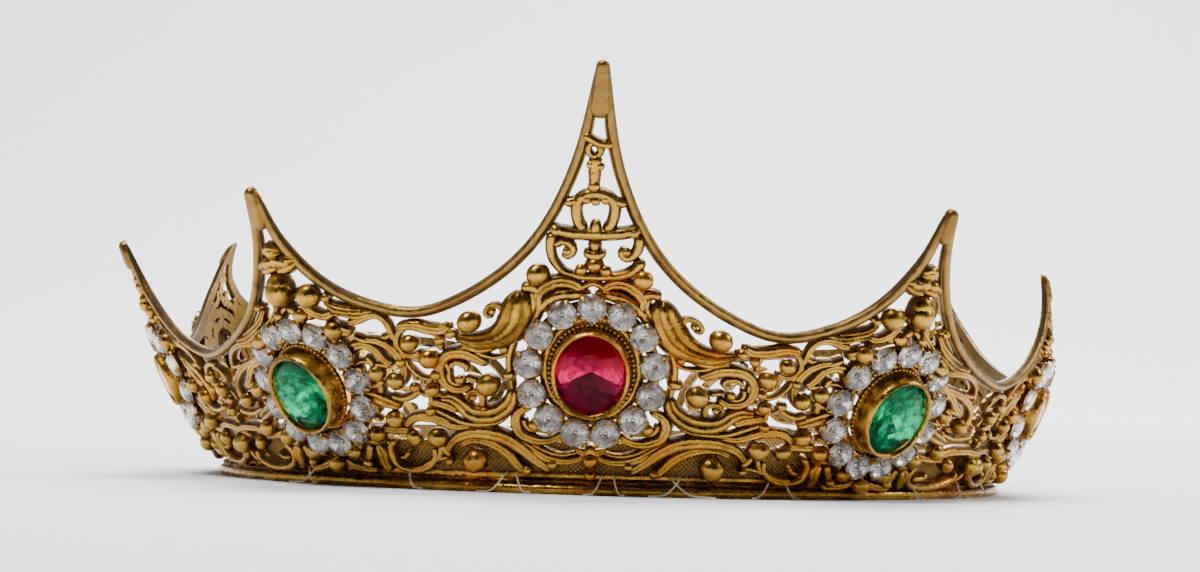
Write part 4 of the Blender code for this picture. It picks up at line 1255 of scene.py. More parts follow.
@dataclass
class Openwork:
    """Cast scrolls, leaves and balls of one panel."""

    peak: Peak
    collar_gap: float = 1.6
    inner_width: float = 1.6
    outer_width: float = 1.7
    pad_width: float = 1.7
    pad_reach: float = 1.0
    collar_points: int = 49
    collar_spacing: float = 0.8

    @staticmethod
    def add_fitted(shell: Shell, pattern: Pattern, half: PanelHalf, drawn: PanelHalf) -> None:
        """Add a pattern to a shell, fitted to one half of the panel.

        Args:
            shell: the growing mesh.
            pattern: the drawing.
            half: the half that receives it.
            drawn: the half on which it was drawn.
        """
        azimuth = half.peak.azimuth
        for stroke in pattern.strokes:
            spine, shrink = half.fit(np.array(stroke.spine, dtype=float), drawn)
            places = np.linspace(0.0, 1.0, len(stroke.widths))
            sizes = np.interp(places, np.linspace(0.0, 1.0, len(shrink)), shrink)
            widths = tuple(np.array(stroke.widths) * sizes * pattern.weight)
            add_on_wall(shell, strand(Stroke(stroke.form, widths, tuple(map(tuple, spine)))), azimuth)
        for ball in pattern.balls:
            centre, shrink = half.fit(np.array([[ball.across, ball.up]]), drawn)
            fitted = Ball(centre[0, 0], centre[0, 1], ball.radius * shrink[0])
            add_on_wall(shell, ball_shell(fitted), azimuth)

    def build(self) -> bpy.types.Object:
        """Make the panel's ornament as one piece.

        Returns:
            The new object.
        """
        shell = Shell()
        left, right = half_of(self.peak.name, -1), half_of(self.peak.name, 1)
        front = self.peak.name == "front"
        for half in (left, right):
            if front:
                self.add_fitted(shell, FRONT_FIELD, half, FRONT_DRAWN)
            else:
                self.add_fitted(shell, SIDE_FIELD, half, SIDE_DRAWN)
        if front:
            self.add_fitted(shell, FRONT_PEAK, right, right)
        else:
            towards_front = right if self.peak.azimuth < 0.0 else left
            self.add_fitted(shell, SIDE_PEAK, towards_front, SIDE_DRAWN)
        self.add_collar(shell)
        return shell.build("ornament_" + self.peak.name, GILT)

    def add_collar(self, shell: Shell) -> None:
        """Add the two plate rings under the wreath, joined by a pad under each small stone."""
        setting = self.peak.setting
        inner = setting.half_width + self.collar_gap, setting.half_height + self.collar_gap
        outer = setting.wreath_half_width, setting.wreath_half_height
        pad_end = outer[0] + self.pad_reach, outer[1] + self.pad_reach
        turns = np.linspace(0.0, 2.0 * math.pi, self.collar_points)
        for half_sizes, width in ((inner, self.inner_width), (outer, self.outer_width)):
            self.add_plate(shell, [(half_sizes, turn) for turn in turns], width)
        for turn in wreath_turns(setting):
            self.add_plate(shell, [(inner, turn), (pad_end, turn)], self.pad_width)

    def add_plate(self, shell: Shell, places: list[tuple[Limits, float]], width: float) -> None:
        """Add a flat strand of one width round the stone.

        Args:
            shell: the growing mesh.
            places: for each point the half sizes of its oval, and its angle from the top.
            width: the strand's width.
        """
        spine = tuple((half_width * math.sin(turn), self.peak.stone_up + half_height * math.cos(turn))
                      for (half_width, half_height), turn in places)
        plate = strand(Stroke(Form.PAD, (width, width), spine), self.collar_spacing)
        add_on_wall(shell, plate, self.peak.azimuth)


def wreath_turns(setting: Setting) -> Array:
    """Angles of the small stones round a setting, the first at the top."""
    return np.arange(setting.wreath_stones) * 2.0 * math.pi / setting.wreath_stones


@dataclass
class ValleyClusters:
    """Bulbs and strands under all valleys of the crown, scaled to each valley's height."""

    drawn_height: float = VALLEYS[3].height
    fixed_radius: float = 0.3

    def build(self) -> bpy.types.Object:
        """Make all clusters as one piece.

        Returns:
            The new object.
        """
        shell = Shell()
        for valley in VALLEYS:
            towards_front = -1.0 if valley.azimuth > 0.0 else 1.0
            scale = valley.height / self.drawn_height
            shrink = min(1.0, self.fixed_radius + (1.0 - self.fixed_radius) * scale)
            add_scaled(shell, VALLEY_CLUSTER, valley.azimuth, (towards_front, scale), shrink)
        return shell.build("ornament_valleys", GILT)


@dataclass
class Wings:
    """Ornament of the two level wings behind the last peaks."""

    drawn_length: float = 23.0
    drawn_height: float = 24.4
    end_share: float = WING_ROWS[4][0]
    mean_slope: float = 0.4
    rim_gap: float = 0.4

    def build(self) -> bpy.types.Object:
        """Make both wings' ornament as one piece.

        Returns:
            The new object.
        """
        shell = Shell()
        for valley, side in ((VALLEYS[0], -1.0), (VALLEYS[-1], 1.0)):
            turn = math.radians(180.0 - abs(valley.azimuth)) * self.end_share
            length = turn * (BASE_RADIUS + valley.height * self.mean_slope)
            rise = (valley.height - self.rim_gap) / self.drawn_height
            add_scaled(shell, WING_FIELD, valley.azimuth, (side * (length / self.drawn_length), rise))
        return shell.build("ornament_wings", GILT)


@dataclass
class Rim:
    """Moulded rim that runs over the peaks and down to the low back, narrower and lower at the tips.

    The tip's shares of the width and of the height are reached over the length of the taper. A solid
    spike fills each tip over its share of the peak's rise.
    """

    half_width: float = 0.82
    tip_share: float = 0.55
    taper: float = 9.0
    tip_height: float = 0.55
    tip_reach: float = 0.85
    spike_share: float = 0.215
    spacing: float = 0.6
    smoothing: float = 2.6
    mean_stretch: float = 1.14
    peak_over: float = 30.0
    end_height: float = 0.4
    full_relief: float = 0.6
    profile: Points = (
        (-0.82, -0.5), (-0.84, 0.1), (-0.76, 0.36), (-0.62, 0.42), (-0.52, 0.36), (-0.43, 0.48),
        (-0.29, 0.70), (-0.05, 0.84), (0.26, 0.84), (0.55, 0.66), (0.74, 0.32), (0.79, -0.1), (0.69, -0.5))

    def lines(self) -> list[Array]:
        """Middle lines of the rim, from tip to tip and from the end tips to the back, as azimuth and up."""
        lines = []
        for before, valley, after in zip((None, *PEAKS), VALLEYS, (*PEAKS, None)):
            down = self.sweep(half_of(before.name, 1)) if before else self.wing(valley, -1)
            rise = self.sweep(half_of(after.name, -1))[::-1] if after else self.wing(valley, 1)[::-1]
            joined = np.vstack([down, rise])
            lines.append(joined[self.moved_on(joined)])
        return lines

    @staticmethod
    def moved_on(line: Array) -> Array:
        """For each point of a line, whether it lies apart from the one before."""
        return np.concatenate([[True], np.linalg.norm(np.diff(line, axis=0), axis=1) > 1e-6])

    @staticmethod
    def sweep(half: PanelHalf) -> Array:
        """Rim of one half from its tip down to its valley, as azimuth in radians and up."""
        lean = math.sin(math.radians(half.peak.lean))
        rows = []
        for share, rise in reversed(SWEEP_ROWS):
            up = half.valley.height + rise * (half.peak.height - half.valley.height)
            across = TIP_HALF_WIDTH + share * (half.valley_width - TIP_HALF_WIDTH)
            turn = half.side * across / (BASE_RADIUS + up * lean)
            rows.append((math.radians(half.peak.azimuth) + turn, up))
        rows[-1] = (math.radians(half.valley.azimuth), half.valley.height)
        return np.array(rows)

    @staticmethod
    def wing(valley: Valley, side: int) -> Array:
        """Rim of a wing from the middle of the back to its valley, as azimuth in radians and up."""
        rows = []
        for way, drop in reversed(WING_ROWS):
            azimuth = valley.azimuth + way * (side * 180.0 - valley.azimuth)
            rows.append((math.radians(azimuth), valley.height - drop * (valley.height - BACK_HEIGHT)))
        return np.array(rows)

    def soften(self, spine: Array, at: Array) -> Array:
        """Round the rim's turns: each point moves to the mean of its neighbours, weighed by a bell curve.

        Args:
            spine: rows of across and up.
            at: distances along the rim.

        Returns:
            The softened rows, unchanged near both ends.
        """
        weight = np.exp(-0.5 * ((at[:, None] - at[None, :]) / self.smoothing) ** 2)
        weight *= np.gradient(at)[None, :]
        mean = weight @ spine / weight.sum(axis=1)[:, None]
        share = smooth_step((np.minimum(at, at[-1] - at) - 2.0 * self.smoothing) / self.taper)[:, None]
        return spine + share * (mean - spine)

    def build(self) -> bpy.types.Object:
        """Make the rim as one piece.

        Returns:
            The new object.
        """
        shell = Shell()
        for line in self.lines():
            vertices, quads, triangles, relief = self.moulding(line)
            shell.add(WALL.place(vertices), quads, triangles, relief)
        for peak in PEAKS:
            self.add_spike(shell, peak)
        return shell.build("rim", RIM_GILT)

    def tip_width(self, line: Array, at: Array) -> Array:
        """Share of the full width along a line: less towards each end that lies in a peak's tip.

        Args:
            line: rows of azimuth and up.
            at: distances along the line.

        Returns:
            The shares.
        """
        near_start = np.minimum(np.where(line[0, 1] > self.peak_over, at, self.taper), self.taper)
        near_end = np.minimum(np.where(line[-1, 1] > self.peak_over, at[-1] - at, self.taper), self.taper)
        return self.tip_share + (1.0 - self.tip_share) * np.minimum(near_start, near_end) / self.taper

    def moulding(self, line: Array) -> Parts:
        """Closed shell of the profile along one line, on the unrolled drawing.

        Args:
            line: rows of azimuth in radians and up.

        Returns:
            Vertices of along, up and out, quads, triangles and relief.
        """
        profile = np.array(self.profile)
        stretch = BASE_RADIUS * self.mean_stretch
        plane = np.stack([line[:, 0] * stretch, line[:, 1]], axis=1)
        spine, at = resample(plane, self.spacing, (self.half_width, self.half_width))
        spine = self.soften(spine, at)
        rounding = round_ends(at, self.half_width, self.half_width)
        share = self.tip_width(line, at)
        across = profile[None, :, 0] * (share * rounding)[:, None]
        vertices = np.empty((len(spine), len(profile), 3))
        vertices[:, :, :2] = spine[:, None, :] + sideways(spine)[:, None, :] * across[:, :, None]
        vertices[:, :, 0] *= BASE_RADIUS / stretch
        way_down = (share - self.tip_share) / (1.0 - self.tip_share)
        lowered = self.tip_height + (1.0 - self.tip_height) * way_down
        raised = np.where(profile[None, :, 1] > 0.0, lowered[:, None], 1.0)
        rounded = self.end_height + (1.0 - self.end_height) * rounding
        vertices[:, :, 2] = profile[None, :, 1] * raised * rounded[:, None]
        height = np.clip(profile[:, 1] / self.full_relief, 0.0, 1.0)
        height = np.where(profile[:, 1] < BACK, BACK_RELIEF, height)
        return capped_rings(vertices, np.broadcast_to(height, vertices.shape[:2]), (0.5, 0.5))

    def add_spike(self, shell: Shell, peak: Peak) -> None:
        """Fill the tip of a peak between the two sides of the rim.

        Args:
            shell: the growing mesh.
            peak: the peak.
        """
        half = half_of(peak.name, -1)
        rise = peak.height - half.valley.height
        levels = np.linspace(peak.height - self.spike_share * rise, peak.height, 4)
        widths = 2.0 * half.rim_half_width(levels) + self.half_width
        lifts = np.array([0.0, 0.0, 0.3, 1.0])
        levels += self.tip_reach * lifts
        spine = tuple((0.0, float(level)) for level in levels)
        vertices, quads, triangles, relief = strand(Stroke(Form.SPIKE, tuple(widths), spine))
        add_on_wall(shell, (vertices, quads, triangles, np.ones_like(relief)), peak.azimuth)


@dataclass
class BaseRing:
    """Rolled ring round the foot, with the narrow strip that the openwork stands on."""

    segments: int = 288
    waviness: float = 0.09
    # Waves round the ring: number of waves, share of the waviness and start in radians
    waves: tuple[tuple[float, float, float], ...] = ((5.0, 1.0, 0.7), (11.0, 0.6, 0.0), (23.0, 0.4, 2.0))
    strip_waviness: float = 0.5
    least_relief: float = 0.5
    relief_slope: float = 0.35
    groove_height: float = 1.55
    groove_reach: float = 0.15
    groove_relief: float = 0.3
    profile: Points = (
        (-1.25, 0.0), (-1.25, 1.5), (-0.9, 2.0), (-0.3, 2.3), (0.45, 2.3), (0.85, 2.12), (1.02, 1.85),
        (0.9, 1.62), (0.82, 1.5), (1.1, 1.42), (1.42, 1.2), (1.6, 0.85), (1.58, 0.5), (1.4, 0.16),
        (1.15, 0.0))
    strip: Points = (
        (-0.5, 1.6), (-0.5, 3.0), (0.3, 3.05), (0.52, 2.9), (0.56, 2.7), (0.5, 2.4), (0.66, 2.2), (0.66, 1.6))

    def build(self) -> bpy.types.Object:
        """Make the ring and its strip as one piece.

        Returns:
            The new object.
        """
        shell = Shell()
        turn = np.linspace(0.0, 2.0 * math.pi, self.segments, endpoint=False)
        wave = self.waviness * sum(share * np.sin(count * turn + start) for count, share, start in self.waves)
        for drawn, wavy in ((self.profile, wave), (self.strip, self.strip_waviness * wave)):
            points = np.array(drawn)
            radius = BASE_RADIUS + points[None, :, 0] + wavy[:, None] * (points[None, :, 0] > 0.0)
            height = np.broadcast_to(points[None, :, 1], radius.shape)
            ring = np.stack([radius * np.sin(turn)[:, None], -radius * np.cos(turn)[:, None], height], axis=2)
            relief = np.clip(self.least_relief + self.relief_slope * points[:, 0], self.least_relief, 1.0)
            relief[np.abs(points[:, 1] - self.groove_height) < self.groove_reach] = self.groove_relief
            shell.add(*swept_ring(ring, relief))
        return shell.build("base_ring", GILT)


@dataclass
class InnerBand:
    """Thin woven band behind the foot of the wall."""

    low: float = 2.5
    high: float = 7.4
    outer: float = -1.02
    thickness: float = 0.6
    segments: int = 240
    rows: int = 8

    def build(self) -> bpy.types.Object:
        """Make the band.

        Returns:
            The new object.
        """
        along = np.linspace(-math.pi, math.pi, self.segments, endpoint=False) * BASE_RADIUS
        inner = self.outer - self.thickness
        levels = np.linspace(self.low, self.high, self.rows)
        inside = [(inner, up) for up in levels[[0, -1]]]
        corners = np.array(inside + [(self.outer, up) for up in levels[::-1]])
        flat = np.empty((self.segments, len(corners), 3))
        flat[:, :, 0] = along[:, None]
        flat[:, :, 1] = corners[None, :, 1]
        flat[:, :, 2] = corners[None, :, 0]
        ring = WALL.place(flat.reshape(-1, 3)).reshape(flat.shape)
        shell = Shell()
        shell.add(*swept_ring(ring, np.ones(len(corners))))
        return shell.build("woven_band", BAND)


def panel_frame(peak: Peak) -> tuple[Array, Array]:
    """Place and frame of a peak's bezel: on the wall's face, across, up the slope and out.

    Args:
        peak: the peak that carries the bezel.

    Returns:
        The origin, and a matrix whose columns are the three directions.
    """
    origin = WALL.place(np.array([[BASE_RADIUS * math.radians(peak.azimuth), peak.stone_up, FACE]]))[0]
    azimuth, lean = math.radians(peak.azimuth), math.radians(peak.lean)
    across = np.array([math.cos(azimuth), math.sin(azimuth), 0.0])
    away = math.sin(lean)
    slope = np.array([away * math.sin(azimuth), -away * math.cos(azimuth), math.cos(lean)])
    return origin, np.stack([across, slope, np.cross(across, slope)], axis=1)


def oval_points(half_width: float, half_height: float, turns: Array) -> tuple[Array, Array]:
    """Points of an oval and its outward normals.

    Args:
        half_width: half size across.
        half_height: half size up.
        turns: angles from the top.

    Returns:
        Rows of points and rows of normals.
    """
    points = np.stack([half_width * np.sin(turns), half_height * np.cos(turns)], axis=1)
    normals = np.stack([half_height * np.sin(turns), half_width * np.cos(turns)], axis=1)
    return points, unit_rows(normals)


@dataclass
class Bezel:
    """Tall oval collar with a beaded foot that holds one main stone, lower round the small stones."""

    peak: Peak
    segments: int = 96
    profile: Points = (
        (1.05, 0.3), (1.12, 0.5), (1.05, 0.78), (0.84, 0.9), (0.72, 1.2), (0.66, 2.5), (0.62, 3.2),
        (0.50, 3.66), (0.30, 3.84), (0.10, 3.76), (-0.08, 3.5), (-0.14, 3.2), (0.0, 3.06), (0.28, 2.9),
        (0.28, 2.5), (-0.3, 1.8), (-1.3, 0.42), (-1.25, 0.3))
    small_height: float = 0.74
    bead_place: float = 0.98
    beads_per_mm: float = 1.35
    bead_radius: float = 0.33
    bead_foot: float = 0.6
    bead_middle: float = 0.82
    bead_segments: tuple[int, int] = (4, 7)
    bead_relief: float = 0.3
    foot_relief: float = 0.25
    relief_height: float = 5.0

    def build(self) -> bpy.types.Object:
        """Make the collar and its row of beads as one piece.

        Returns:
            The new object.
        """
        setting = self.peak.setting
        origin, frame = panel_frame(self.peak)
        profile = np.array(self.profile)
        if setting is SMALL:
            profile[:, 1] *= self.small_height
        points, normals = oval_points(setting.half_width, setting.half_height,
                                      -np.linspace(0.0, 2.0 * math.pi, self.segments, endpoint=False))
        local = np.empty((self.segments, len(profile), 3))
        local[:, :, :2] = points[:, None, :] + normals[:, None, :] * profile[None, :, :1]
        local[:, :, 2] = profile[None, :, 1]
        shell = Shell()
        relief = np.clip(self.foot_relief + profile[:, 1] / self.relief_height, 0.0, 1.0)
        shell.add(*swept_ring(origin + local @ frame.T, relief))
        around = math.pi * (setting.half_width + setting.half_height + 3.0)
        count = int(around * self.beads_per_mm)
        spots, outward = oval_points(setting.half_width, setting.half_height,
                                     np.linspace(0.0, 2.0 * math.pi, count, endpoint=False))
        for spot, away in zip(spots, outward):
            bead = Ball(*(spot + away * self.bead_place), self.bead_radius)
            vertices, quads, triangles, relief = ball_shell(bead, *self.bead_segments)
            vertices[:, 2] += self.bead_middle - FACE - BALL_LIFT * self.bead_radius
            vertices[:, 2] = np.maximum(vertices[:, 2], self.bead_foot)
            relief = self.bead_relief + (1.0 - self.bead_relief) * relief
            shell.add(origin + vertices @ frame.T, quads, triangles, relief)
        return shell.build("collar_" + self.peak.name, GILT)


def brilliant(count: int, table: float, crown: float, girdle: float, pavilion: float) -> tuple[Array, ...]:
    """Round brilliant cut of unit girdle radius: table, stars, kites, girdle and pavilion facets.

    Args:
        count: main facets round the crown.
        table: radius of the table.
        crown: height of the table over the girdle.
        girdle: height of the girdle's band.
        pavilion: depth of the point under the girdle.

    Returns:
        Vertices, quads, triangles, and which triangles lie under the girdle.
    """
    kite_reach, kite_height, lower_radius, lower_depth = 1.04, 0.52, 0.55, 0.45
    main = np.arange(count) * 2.0 * math.pi / count
    between = main + math.pi / count
    rim = np.arange(2 * count) * math.pi / count
    middle_radius = 0.5 * (1.0 + table) * kite_reach
    middle_height = crown * kite_height

    def ring(turns: Array, radius: float, height: float) -> Array:
        """Points of a level ring."""
        return np.stack([radius * np.cos(turns), radius * np.sin(turns), np.full(len(turns), height)], axis=1)

    vertices = np.vstack([
        ring(between, table, crown), ring(main, middle_radius, middle_height), ring(rim, 1.0, 0.0),
        ring(rim, 1.0, -girdle), ring(between, lower_radius, -girdle - lower_depth * pavilion),
        [[0.0, 0.0, -girdle - pavilion]], [[0.0, 0.0, crown]]])
    index = np.arange(count)
    after = (index + 1) % count
    tables, middles, girdles = index, count + index, 2 * count + np.arange(2 * count)
    lower, mains = 4 * count + np.arange(2 * count), 6 * count + index
    point, top = 7 * count, 7 * count + 1
    even, odd, even_after = girdles[0::2], girdles[1::2], np.roll(girdles[0::2], -1)
    quads = np.stack([girdles, lower, np.roll(lower, -1), np.roll(girdles, -1)], axis=1)
    low_even, low_odd, low_after = lower[0::2], lower[1::2], np.roll(lower[0::2], -1)
    triangles = np.vstack([
        np.stack([np.full(count, top), tables, tables[after]], axis=1),
        np.stack([tables, middles[after], tables[after]], axis=1),
        np.stack([tables, odd, middles[after]], axis=1),
        np.stack([tables, middles, odd], axis=1),
        np.stack([middles, even, odd], axis=1),
        np.stack([middles[after], odd, even_after], axis=1),
        np.stack([low_even, mains, low_odd], axis=1),
        np.stack([low_odd, mains, low_after], axis=1),
        np.stack([mains, np.full(count, point), mains[after]], axis=1),
        np.stack([low_after, mains, mains[after]], axis=1)])
    return vertices, quads, triangles, np.arange(len(triangles)) >= 6 * count


def foil_faces(stone: bpy.types.Object, quads: int, below: Array, foil: Foil) -> None:
    """Give the faces under the girdle their foil.

    Args:
        stone: the finished piece of one or more stones.
        quads: number of quads that come before the triangles.
        below: for each triangle, whether it lies under the girdle.
        foil: the finish behind the stone.
    """
    stone.data.materials.append(foil.material())
    materials = np.concatenate([np.zeros(quads, dtype=int), below.astype(int)])
    stone.data.polygons.foreach_set("material_index", materials)


@dataclass
class MainStone:
    """Oval cut stone in its bezel."""

    peak: Peak
    facets: int = 10
    table_share: float = 0.58
    crown_share: float = 0.19
    pavilion_share: float = 0.46
    girdle_height: float = 2.92
    girdle_band: float = 0.12

    def build(self) -> bpy.types.Object:
        """Make the stone.

        Returns:
            The new object.
        """
        setting = self.peak.setting
        origin, frame = panel_frame(self.peak)
        vertices, quads, triangles, below = brilliant(
            self.facets, self.table_share, self.crown_share, self.girdle_band / setting.half_width,
            self.pavilion_share)
        local = vertices * (setting.half_width, setting.half_height, setting.half_width)
        seat = self.girdle_height * (Bezel.small_height if setting is SMALL else 1.0)
        local[:, 2] += seat + 0.5 * self.girdle_band
        shell = Shell()
        shell.add(origin + local @ frame.T, quads, triangles, np.ones(len(local)))
        stone = shell.build("cut_stone_" + self.peak.name, GLASSES[self.peak.glass], 1.0)
        foil_faces(stone, len(quads), below, FOILS[self.peak.glass])
        return stone


@dataclass
class Wreath:
    """Ring of small claw-set stones round one bezel."""

    peak: Peak
    stone_radius: float = 2.06
    facets: int = 8
    table_share: float = 0.56
    crown_share: float = 0.38
    girdle_share: float = 0.06
    pavilion_share: float = 0.42
    girdle_out: float = 1.85
    uneven_spin: float = 0.4
    spin_step: float = 3.7
    claws: int = 4
    claw_corners: int = 6
    claw_flatness: float = 0.7
    claw_relief: float = 0.8
    cup_segments: int = 18
    cup_profile: Points = (
        (1.4, -1.0), (2.02, -0.35), (2.16, -0.14), (2.12, -0.04), (2.03, -0.1), (1.3, -0.75), (0.2, -0.85),
        (0.2, -1.0))
    cup_relief: tuple[float, ...] = (0.1, 0.4, 0.8, 0.9, 0.5, 0.1, 0.1, 0.1)
    claw_spine: Points = ((2.02, -0.5), (2.2, -0.1), (2.14, 0.24), (1.92, 0.44), (1.66, 0.48))
    claw_widths: tuple[float, ...] = (0.36, 0.34, 0.32, 0.27, 0.12)

    def build(self) -> list[bpy.types.Object]:
        """Make the stones, and their cups with claws.

        Returns:
            The piece of stones and the piece of metal.
        """
        setting = self.peak.setting
        turns = wreath_turns(setting)
        centres = np.stack([setting.wreath_half_width * np.sin(turns),
                            self.peak.stone_up + setting.wreath_half_height * np.cos(turns)], axis=1)
        origins, frames = WALL.frames(self.peak.azimuth, centres, self.girdle_out)
        stones, cups = Shell(), Shell()
        vertices, quads, triangles, below = brilliant(
            self.facets, self.table_share, self.crown_share, self.girdle_share, self.pavilion_share)
        sized, relief = vertices * self.stone_radius, np.ones(len(vertices))
        claw, cup = self.claw(), self.cup()
        for number, (turn, origin, frame) in enumerate(zip(turns, origins, frames)):
            spin = turn + self.uneven_spin * math.sin(self.spin_step * number)
            placed = frame @ spin_matrix(spin)
            stones.add(origin + sized @ placed.T, quads, triangles, relief)
            cups.add(origin + cup[0] @ frame.T, *cup[1:])
            for step in range(self.claws):
                angle = -turn + math.pi / self.claws + step * 2.0 * math.pi / self.claws
                cups.add(origin + claw[0] @ (frame @ spin_matrix(angle)).T, *claw[1:])
        made = stones.build("small_stones_" + self.peak.name, PASTE, 1.0)
        foil_faces(made, len(quads) * len(turns), np.tile(below, len(turns)), FOILS["paste"])
        return [made, cups.build("cups_" + self.peak.name, GILT)]

    def cup(self) -> Parts:
        """Open cup of one small stone, as local vertices, quads, triangles and relief."""
        profile = np.array(self.cup_profile)
        turn = -np.linspace(0.0, 2.0 * math.pi, self.cup_segments, endpoint=False)
        ring = np.empty((len(turn), len(profile), 3))
        ring[:, :, 0] = profile[None, :, 0] * np.cos(turn)[:, None]
        ring[:, :, 1] = profile[None, :, 0] * np.sin(turn)[:, None]
        ring[:, :, 2] = profile[None, :, 1]
        return swept_ring(ring, np.array(self.cup_relief))

    def claw(self) -> Parts:
        """One claw over the girdle, as local vertices, quads, triangles and relief."""
        spine, widths = np.array(self.claw_spine), np.array(self.claw_widths)
        corners = np.linspace(0.0, 2.0 * math.pi, self.claw_corners, endpoint=False)
        away = -sideways(spine)
        rings = np.empty((len(spine), len(corners), 3))
        swing = widths[:, None] * np.cos(corners)[None, :] * self.claw_flatness
        rings[:, :, 0] = spine[:, :1] + away[:, :1] * swing
        rings[:, :, 2] = spine[:, 1:] + away[:, 1:] * swing
        rings[:, :, 1] = widths[:, None] * np.sin(corners)[None, :]
        relief = np.full(rings.shape[:2], self.claw_relief)
        return capped_rings(rings, relief, (self.claw_relief, self.claw_relief))


@dataclass(frozen=True)
class ThreadEnd:
    """A loose thread end at the foot: azimuth in degrees, length in mm, and how it swings aside."""

    azimuth: float
    length: float
    swing: float


@dataclass
class Threads:
    """Short ends of sewing thread that stick out over the base ring."""

    radius: float = 0.13
    corners: int = 6
    spacing: float = 0.5
    # A direction that no thread runs in, to find the first of its two sides from
    aside_from: tuple[float, float, float] = (0.3, 0.1, 1.0)
    # Fall over the base ring: out of the wall, up, and share of the swing aside
    fall: tuple[tuple[float, float, float], ...] = (
        (0.5, 2.9, 0.0), (1.6, 2.5, 0.05), (2.2, 1.3, 0.25), (2.6, 0.35, 0.5))
    # Run over the ground: share of the length, up, and share of the swing aside
    run: tuple[tuple[float, float, float], ...] = ((0.35, 0.2, 0.8), (0.5, 0.2, 1.0))
    ends: tuple[ThreadEnd, ...] = (
        ThreadEnd(-46.0, 9.0, 5.0), ThreadEnd(-44.0, 7.0, -4.0), ThreadEnd(-28.0, 6.0, 3.0),
        ThreadEnd(-14.0, 8.0, -3.5), ThreadEnd(-12.5, 7.0, 2.5), ThreadEnd(-1.0, 8.0, -2.5),
        ThreadEnd(0.5, 7.0, 1.5), ThreadEnd(8.0, 11.0, 6.0), ThreadEnd(9.5, 8.0, -5.0),
        ThreadEnd(22.0, 11.0, -4.5), ThreadEnd(24.0, 6.0, 2.0), ThreadEnd(46.0, 6.0, 1.5),
        ThreadEnd(58.0, 5.0, -2.0), ThreadEnd(66.0, 5.0, 2.0))

    def build(self) -> bpy.types.Object:
        """Make all thread ends as one piece.

        Returns:
            The new object.
        """
        shell = Shell()
        turns = np.linspace(0.0, 2.0 * math.pi, self.corners, endpoint=False)[None, :, None]
        for end in self.ends:
            azimuth = math.radians(end.azimuth)
            away = np.array([math.sin(azimuth), -math.cos(azimuth), 0.0])
            aside = np.array([math.cos(azimuth), math.sin(azimuth), 0.0])
            rows = self.fall + tuple((way * end.length, up, share) for way, up, share in self.run)
            spine = np.array([away * (BASE_RADIUS + out) + aside * end.swing * share + (0.0, 0.0, up)
                              for out, up, share in rows])
            line, _ = resample(spine, self.spacing, (0.1, 0.1))
            tangent = unit_rows(np.gradient(line, axis=0))
            first = unit_rows(np.cross(tangent, self.aside_from))
            second = np.cross(tangent, first)
            round_line = first[:, None, :] * np.cos(turns) + second[:, None, :] * np.sin(turns)
            rings = line[:, None, :] + self.radius * round_line
            shell.add(*capped_rings(rings, np.ones(rings.shape[:2]), (1.0, 1.0), line[[0, -1]]))
        return shell.build("thread_ends", THREAD)


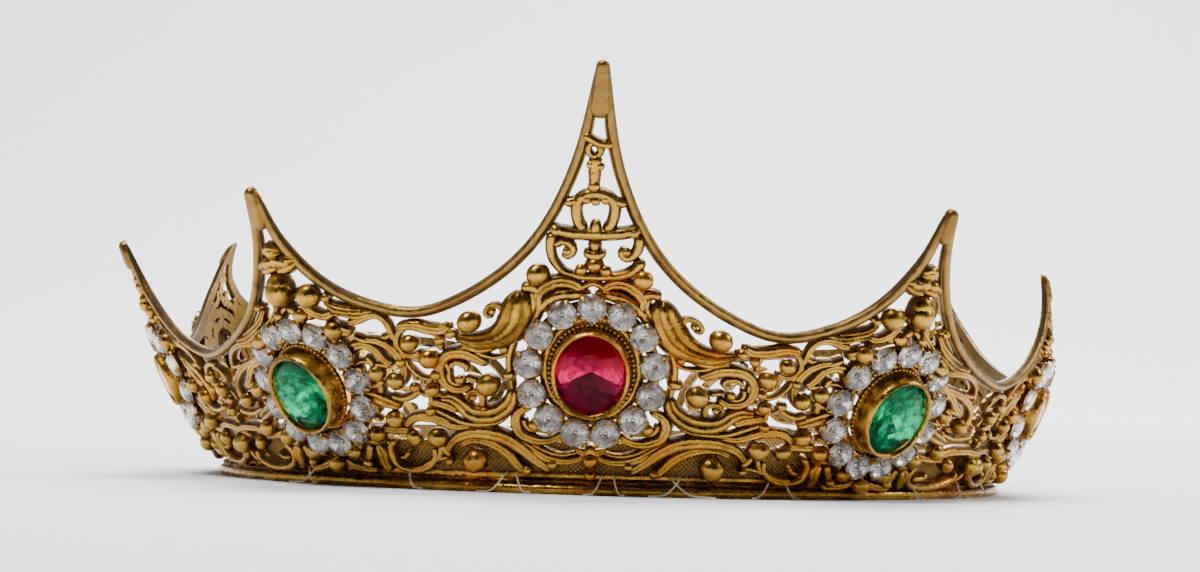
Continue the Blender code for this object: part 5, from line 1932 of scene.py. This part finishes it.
@dataclass
class Studio:
    """Pale floor and backdrop, soft lights and the camera at the photograph's angle."""

    floor_half: float = 6.0
    floor_back: float = 1.2
    bend_radius: float = 0.8
    bend_points: int = 8
    floor_colour: Colour = (0.92, 0.94, 0.97)
    camera_distance: float = 0.571
    camera_height: float = 0.0181
    camera_across: float = -0.0021
    pitch: float = 1.3
    roll: float = 1.59
    focal_pixels: float = 3602.0
    photo_width: int = 1200
    sensor: float = 36.0
    # Each light's name, place and size in metres, and power in watts
    lights: tuple[tuple[str, tuple[float, float, float], float, float], ...] = (
        ("key", (-0.45, -0.45, 1.3), 0.5, 17.0),
        ("fill", (1.3, 0.1, 0.9), 0.5, 9.0),
        ("back", (0.2, 1.2, 1.5), 1.6, 95.0),
    )
    sky_colour: Colour = (0.92, 0.95, 1.0)
    # The sky's strength changes along Y, from the first two values to the last two
    sky_fade: tuple[float, float, float, float] = (-0.6, 0.6, 0.03, 1.1)

    def build_floor(self) -> None:
        """Make the floor, curved up into the backdrop."""
        rows = [(-self.floor_half, 0.0), (self.floor_back, 0.0)]
        for turn in np.linspace(0.2, 0.5 * math.pi, self.bend_points):
            rows.append((self.floor_back + self.bend_radius * math.sin(turn),
                         self.bend_radius - self.bend_radius * math.cos(turn)))
        rows.append((self.floor_back + self.bend_radius, self.floor_half))
        vertices = [(x, y, z) for y, z in rows for x in (-self.floor_half, self.floor_half)]
        faces = [(2 * i, 2 * i + 1, 2 * i + 3, 2 * i + 2) for i in range(len(rows) - 1)]
        mesh = bpy.data.meshes.new("floor")
        mesh.from_pydata(vertices, [], faces)
        mesh.shade_smooth()
        mesh.materials.append(Plain("floor", self.floor_colour, 0.8).material())
        floor = bpy.data.objects.new("floor", mesh)
        bpy.context.scene.collection.objects.link(floor)

    def build_lights(self) -> None:
        """Make the soft lights and the pale sky."""
        for name, place, size, power in self.lights:
            data = bpy.data.lights.new(name, "AREA")
            data.shape = "DISK"
            data.size = size
            data.energy = power
            light = bpy.data.objects.new(name, data)
            light.location = place
            light.rotation_euler = (-Vector(place)).to_track_quat("-Z", "Y").to_euler()
            bpy.context.scene.collection.objects.link(light)
        world = bpy.data.worlds.new("sky")
        world.use_nodes = True
        tree = world.node_tree
        sky = tree.nodes["Background"]
        sky.inputs["Color"].default_value = (*self.sky_colour, 1.0)
        place = tree.nodes.new("ShaderNodeTexCoord")
        split = tree.nodes.new("ShaderNodeSeparateXYZ")
        fade = tree.nodes.new("ShaderNodeMapRange")
        for key, amount in zip(("From Min", "From Max", "To Min", "To Max"), self.sky_fade):
            fade.inputs[key].default_value = amount
        tree.links.new(place.outputs["Generated"], split.inputs[0])
        tree.links.new(split.outputs["Y"], fade.inputs["Value"])
        tree.links.new(fade.outputs["Result"], sky.inputs["Strength"])
        bpy.context.scene.world = world

    def build_camera(self) -> None:
        """Make the camera: its place, tilt and lens come from the fit to the photograph."""
        data = bpy.data.cameras.new("camera")
        data.sensor_width = self.sensor
        data.lens = self.focal_pixels / self.photo_width * self.sensor
        camera = bpy.data.objects.new("camera", data)
        pitch, roll = math.radians(self.pitch), math.radians(self.roll)
        right = Vector((1.0, 0.0, 0.0))
        above = Vector((0.0, -math.sin(pitch), math.cos(pitch)))
        ahead = Vector((0.0, math.cos(pitch), math.sin(pitch)))
        turned_right = right * math.cos(roll) + above * math.sin(roll)
        turned_above = above * math.cos(roll) - right * math.sin(roll)
        frame = Matrix((turned_right, turned_above, -ahead)).transposed().to_4x4()
        frame.translation = Vector((self.camera_across, -self.camera_distance, self.camera_height))
        camera.matrix_world = frame
        bpy.context.scene.collection.objects.link(camera)
        bpy.context.scene.camera = camera

    def build(self) -> None:
        """Make the whole studio."""
        self.build_floor()
        self.build_lights()
        self.build_camera()


def keep(piece: bpy.types.Object, slot: str | None, *nodes: str) -> None:
    """Let a piece ride on the body, hide the CAD nodes it stands for, and report it.

    Args:
        piece: the finished piece.
        slot: not used.
        nodes: the CAD nodes that the piece replaces.
    """
    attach(piece, BODY)
    if nodes:
        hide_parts(*nodes)
    LOG.info("%s: %d faces", piece.name, len(piece.data.polygons))


def main() -> None:
    """Build every class in order."""
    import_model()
    keep(Rim().build(), "gilt", "gallery")
    keep(BaseRing().build(), "gilt")
    for peak in PEAKS:
        keep(Openwork(peak).build(), "gilt")
    keep(ValleyClusters().build(), "gilt")
    keep(Wings().build(), "gilt")
    keep(InnerBand().build(), "band_gilt", "inner_band")
    for peak in PEAKS:
        keep(Bezel(peak).build(), "gilt", "bezel_" + peak.name)
        keep(MainStone(peak).build(), peak.glass + "_glass", "stone_" + peak.name)
        stones, cups = Wreath(peak).build()
        keep(stones, "clear_paste", "wreath_" + peak.name)
        keep(cups, "gilt")
    keep(Threads().build(), None)
    Studio().build()
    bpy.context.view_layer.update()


if __name__ == "__main__":
    logging.basicConfig(level=logging.INFO, stream=sys.stdout)
    main()
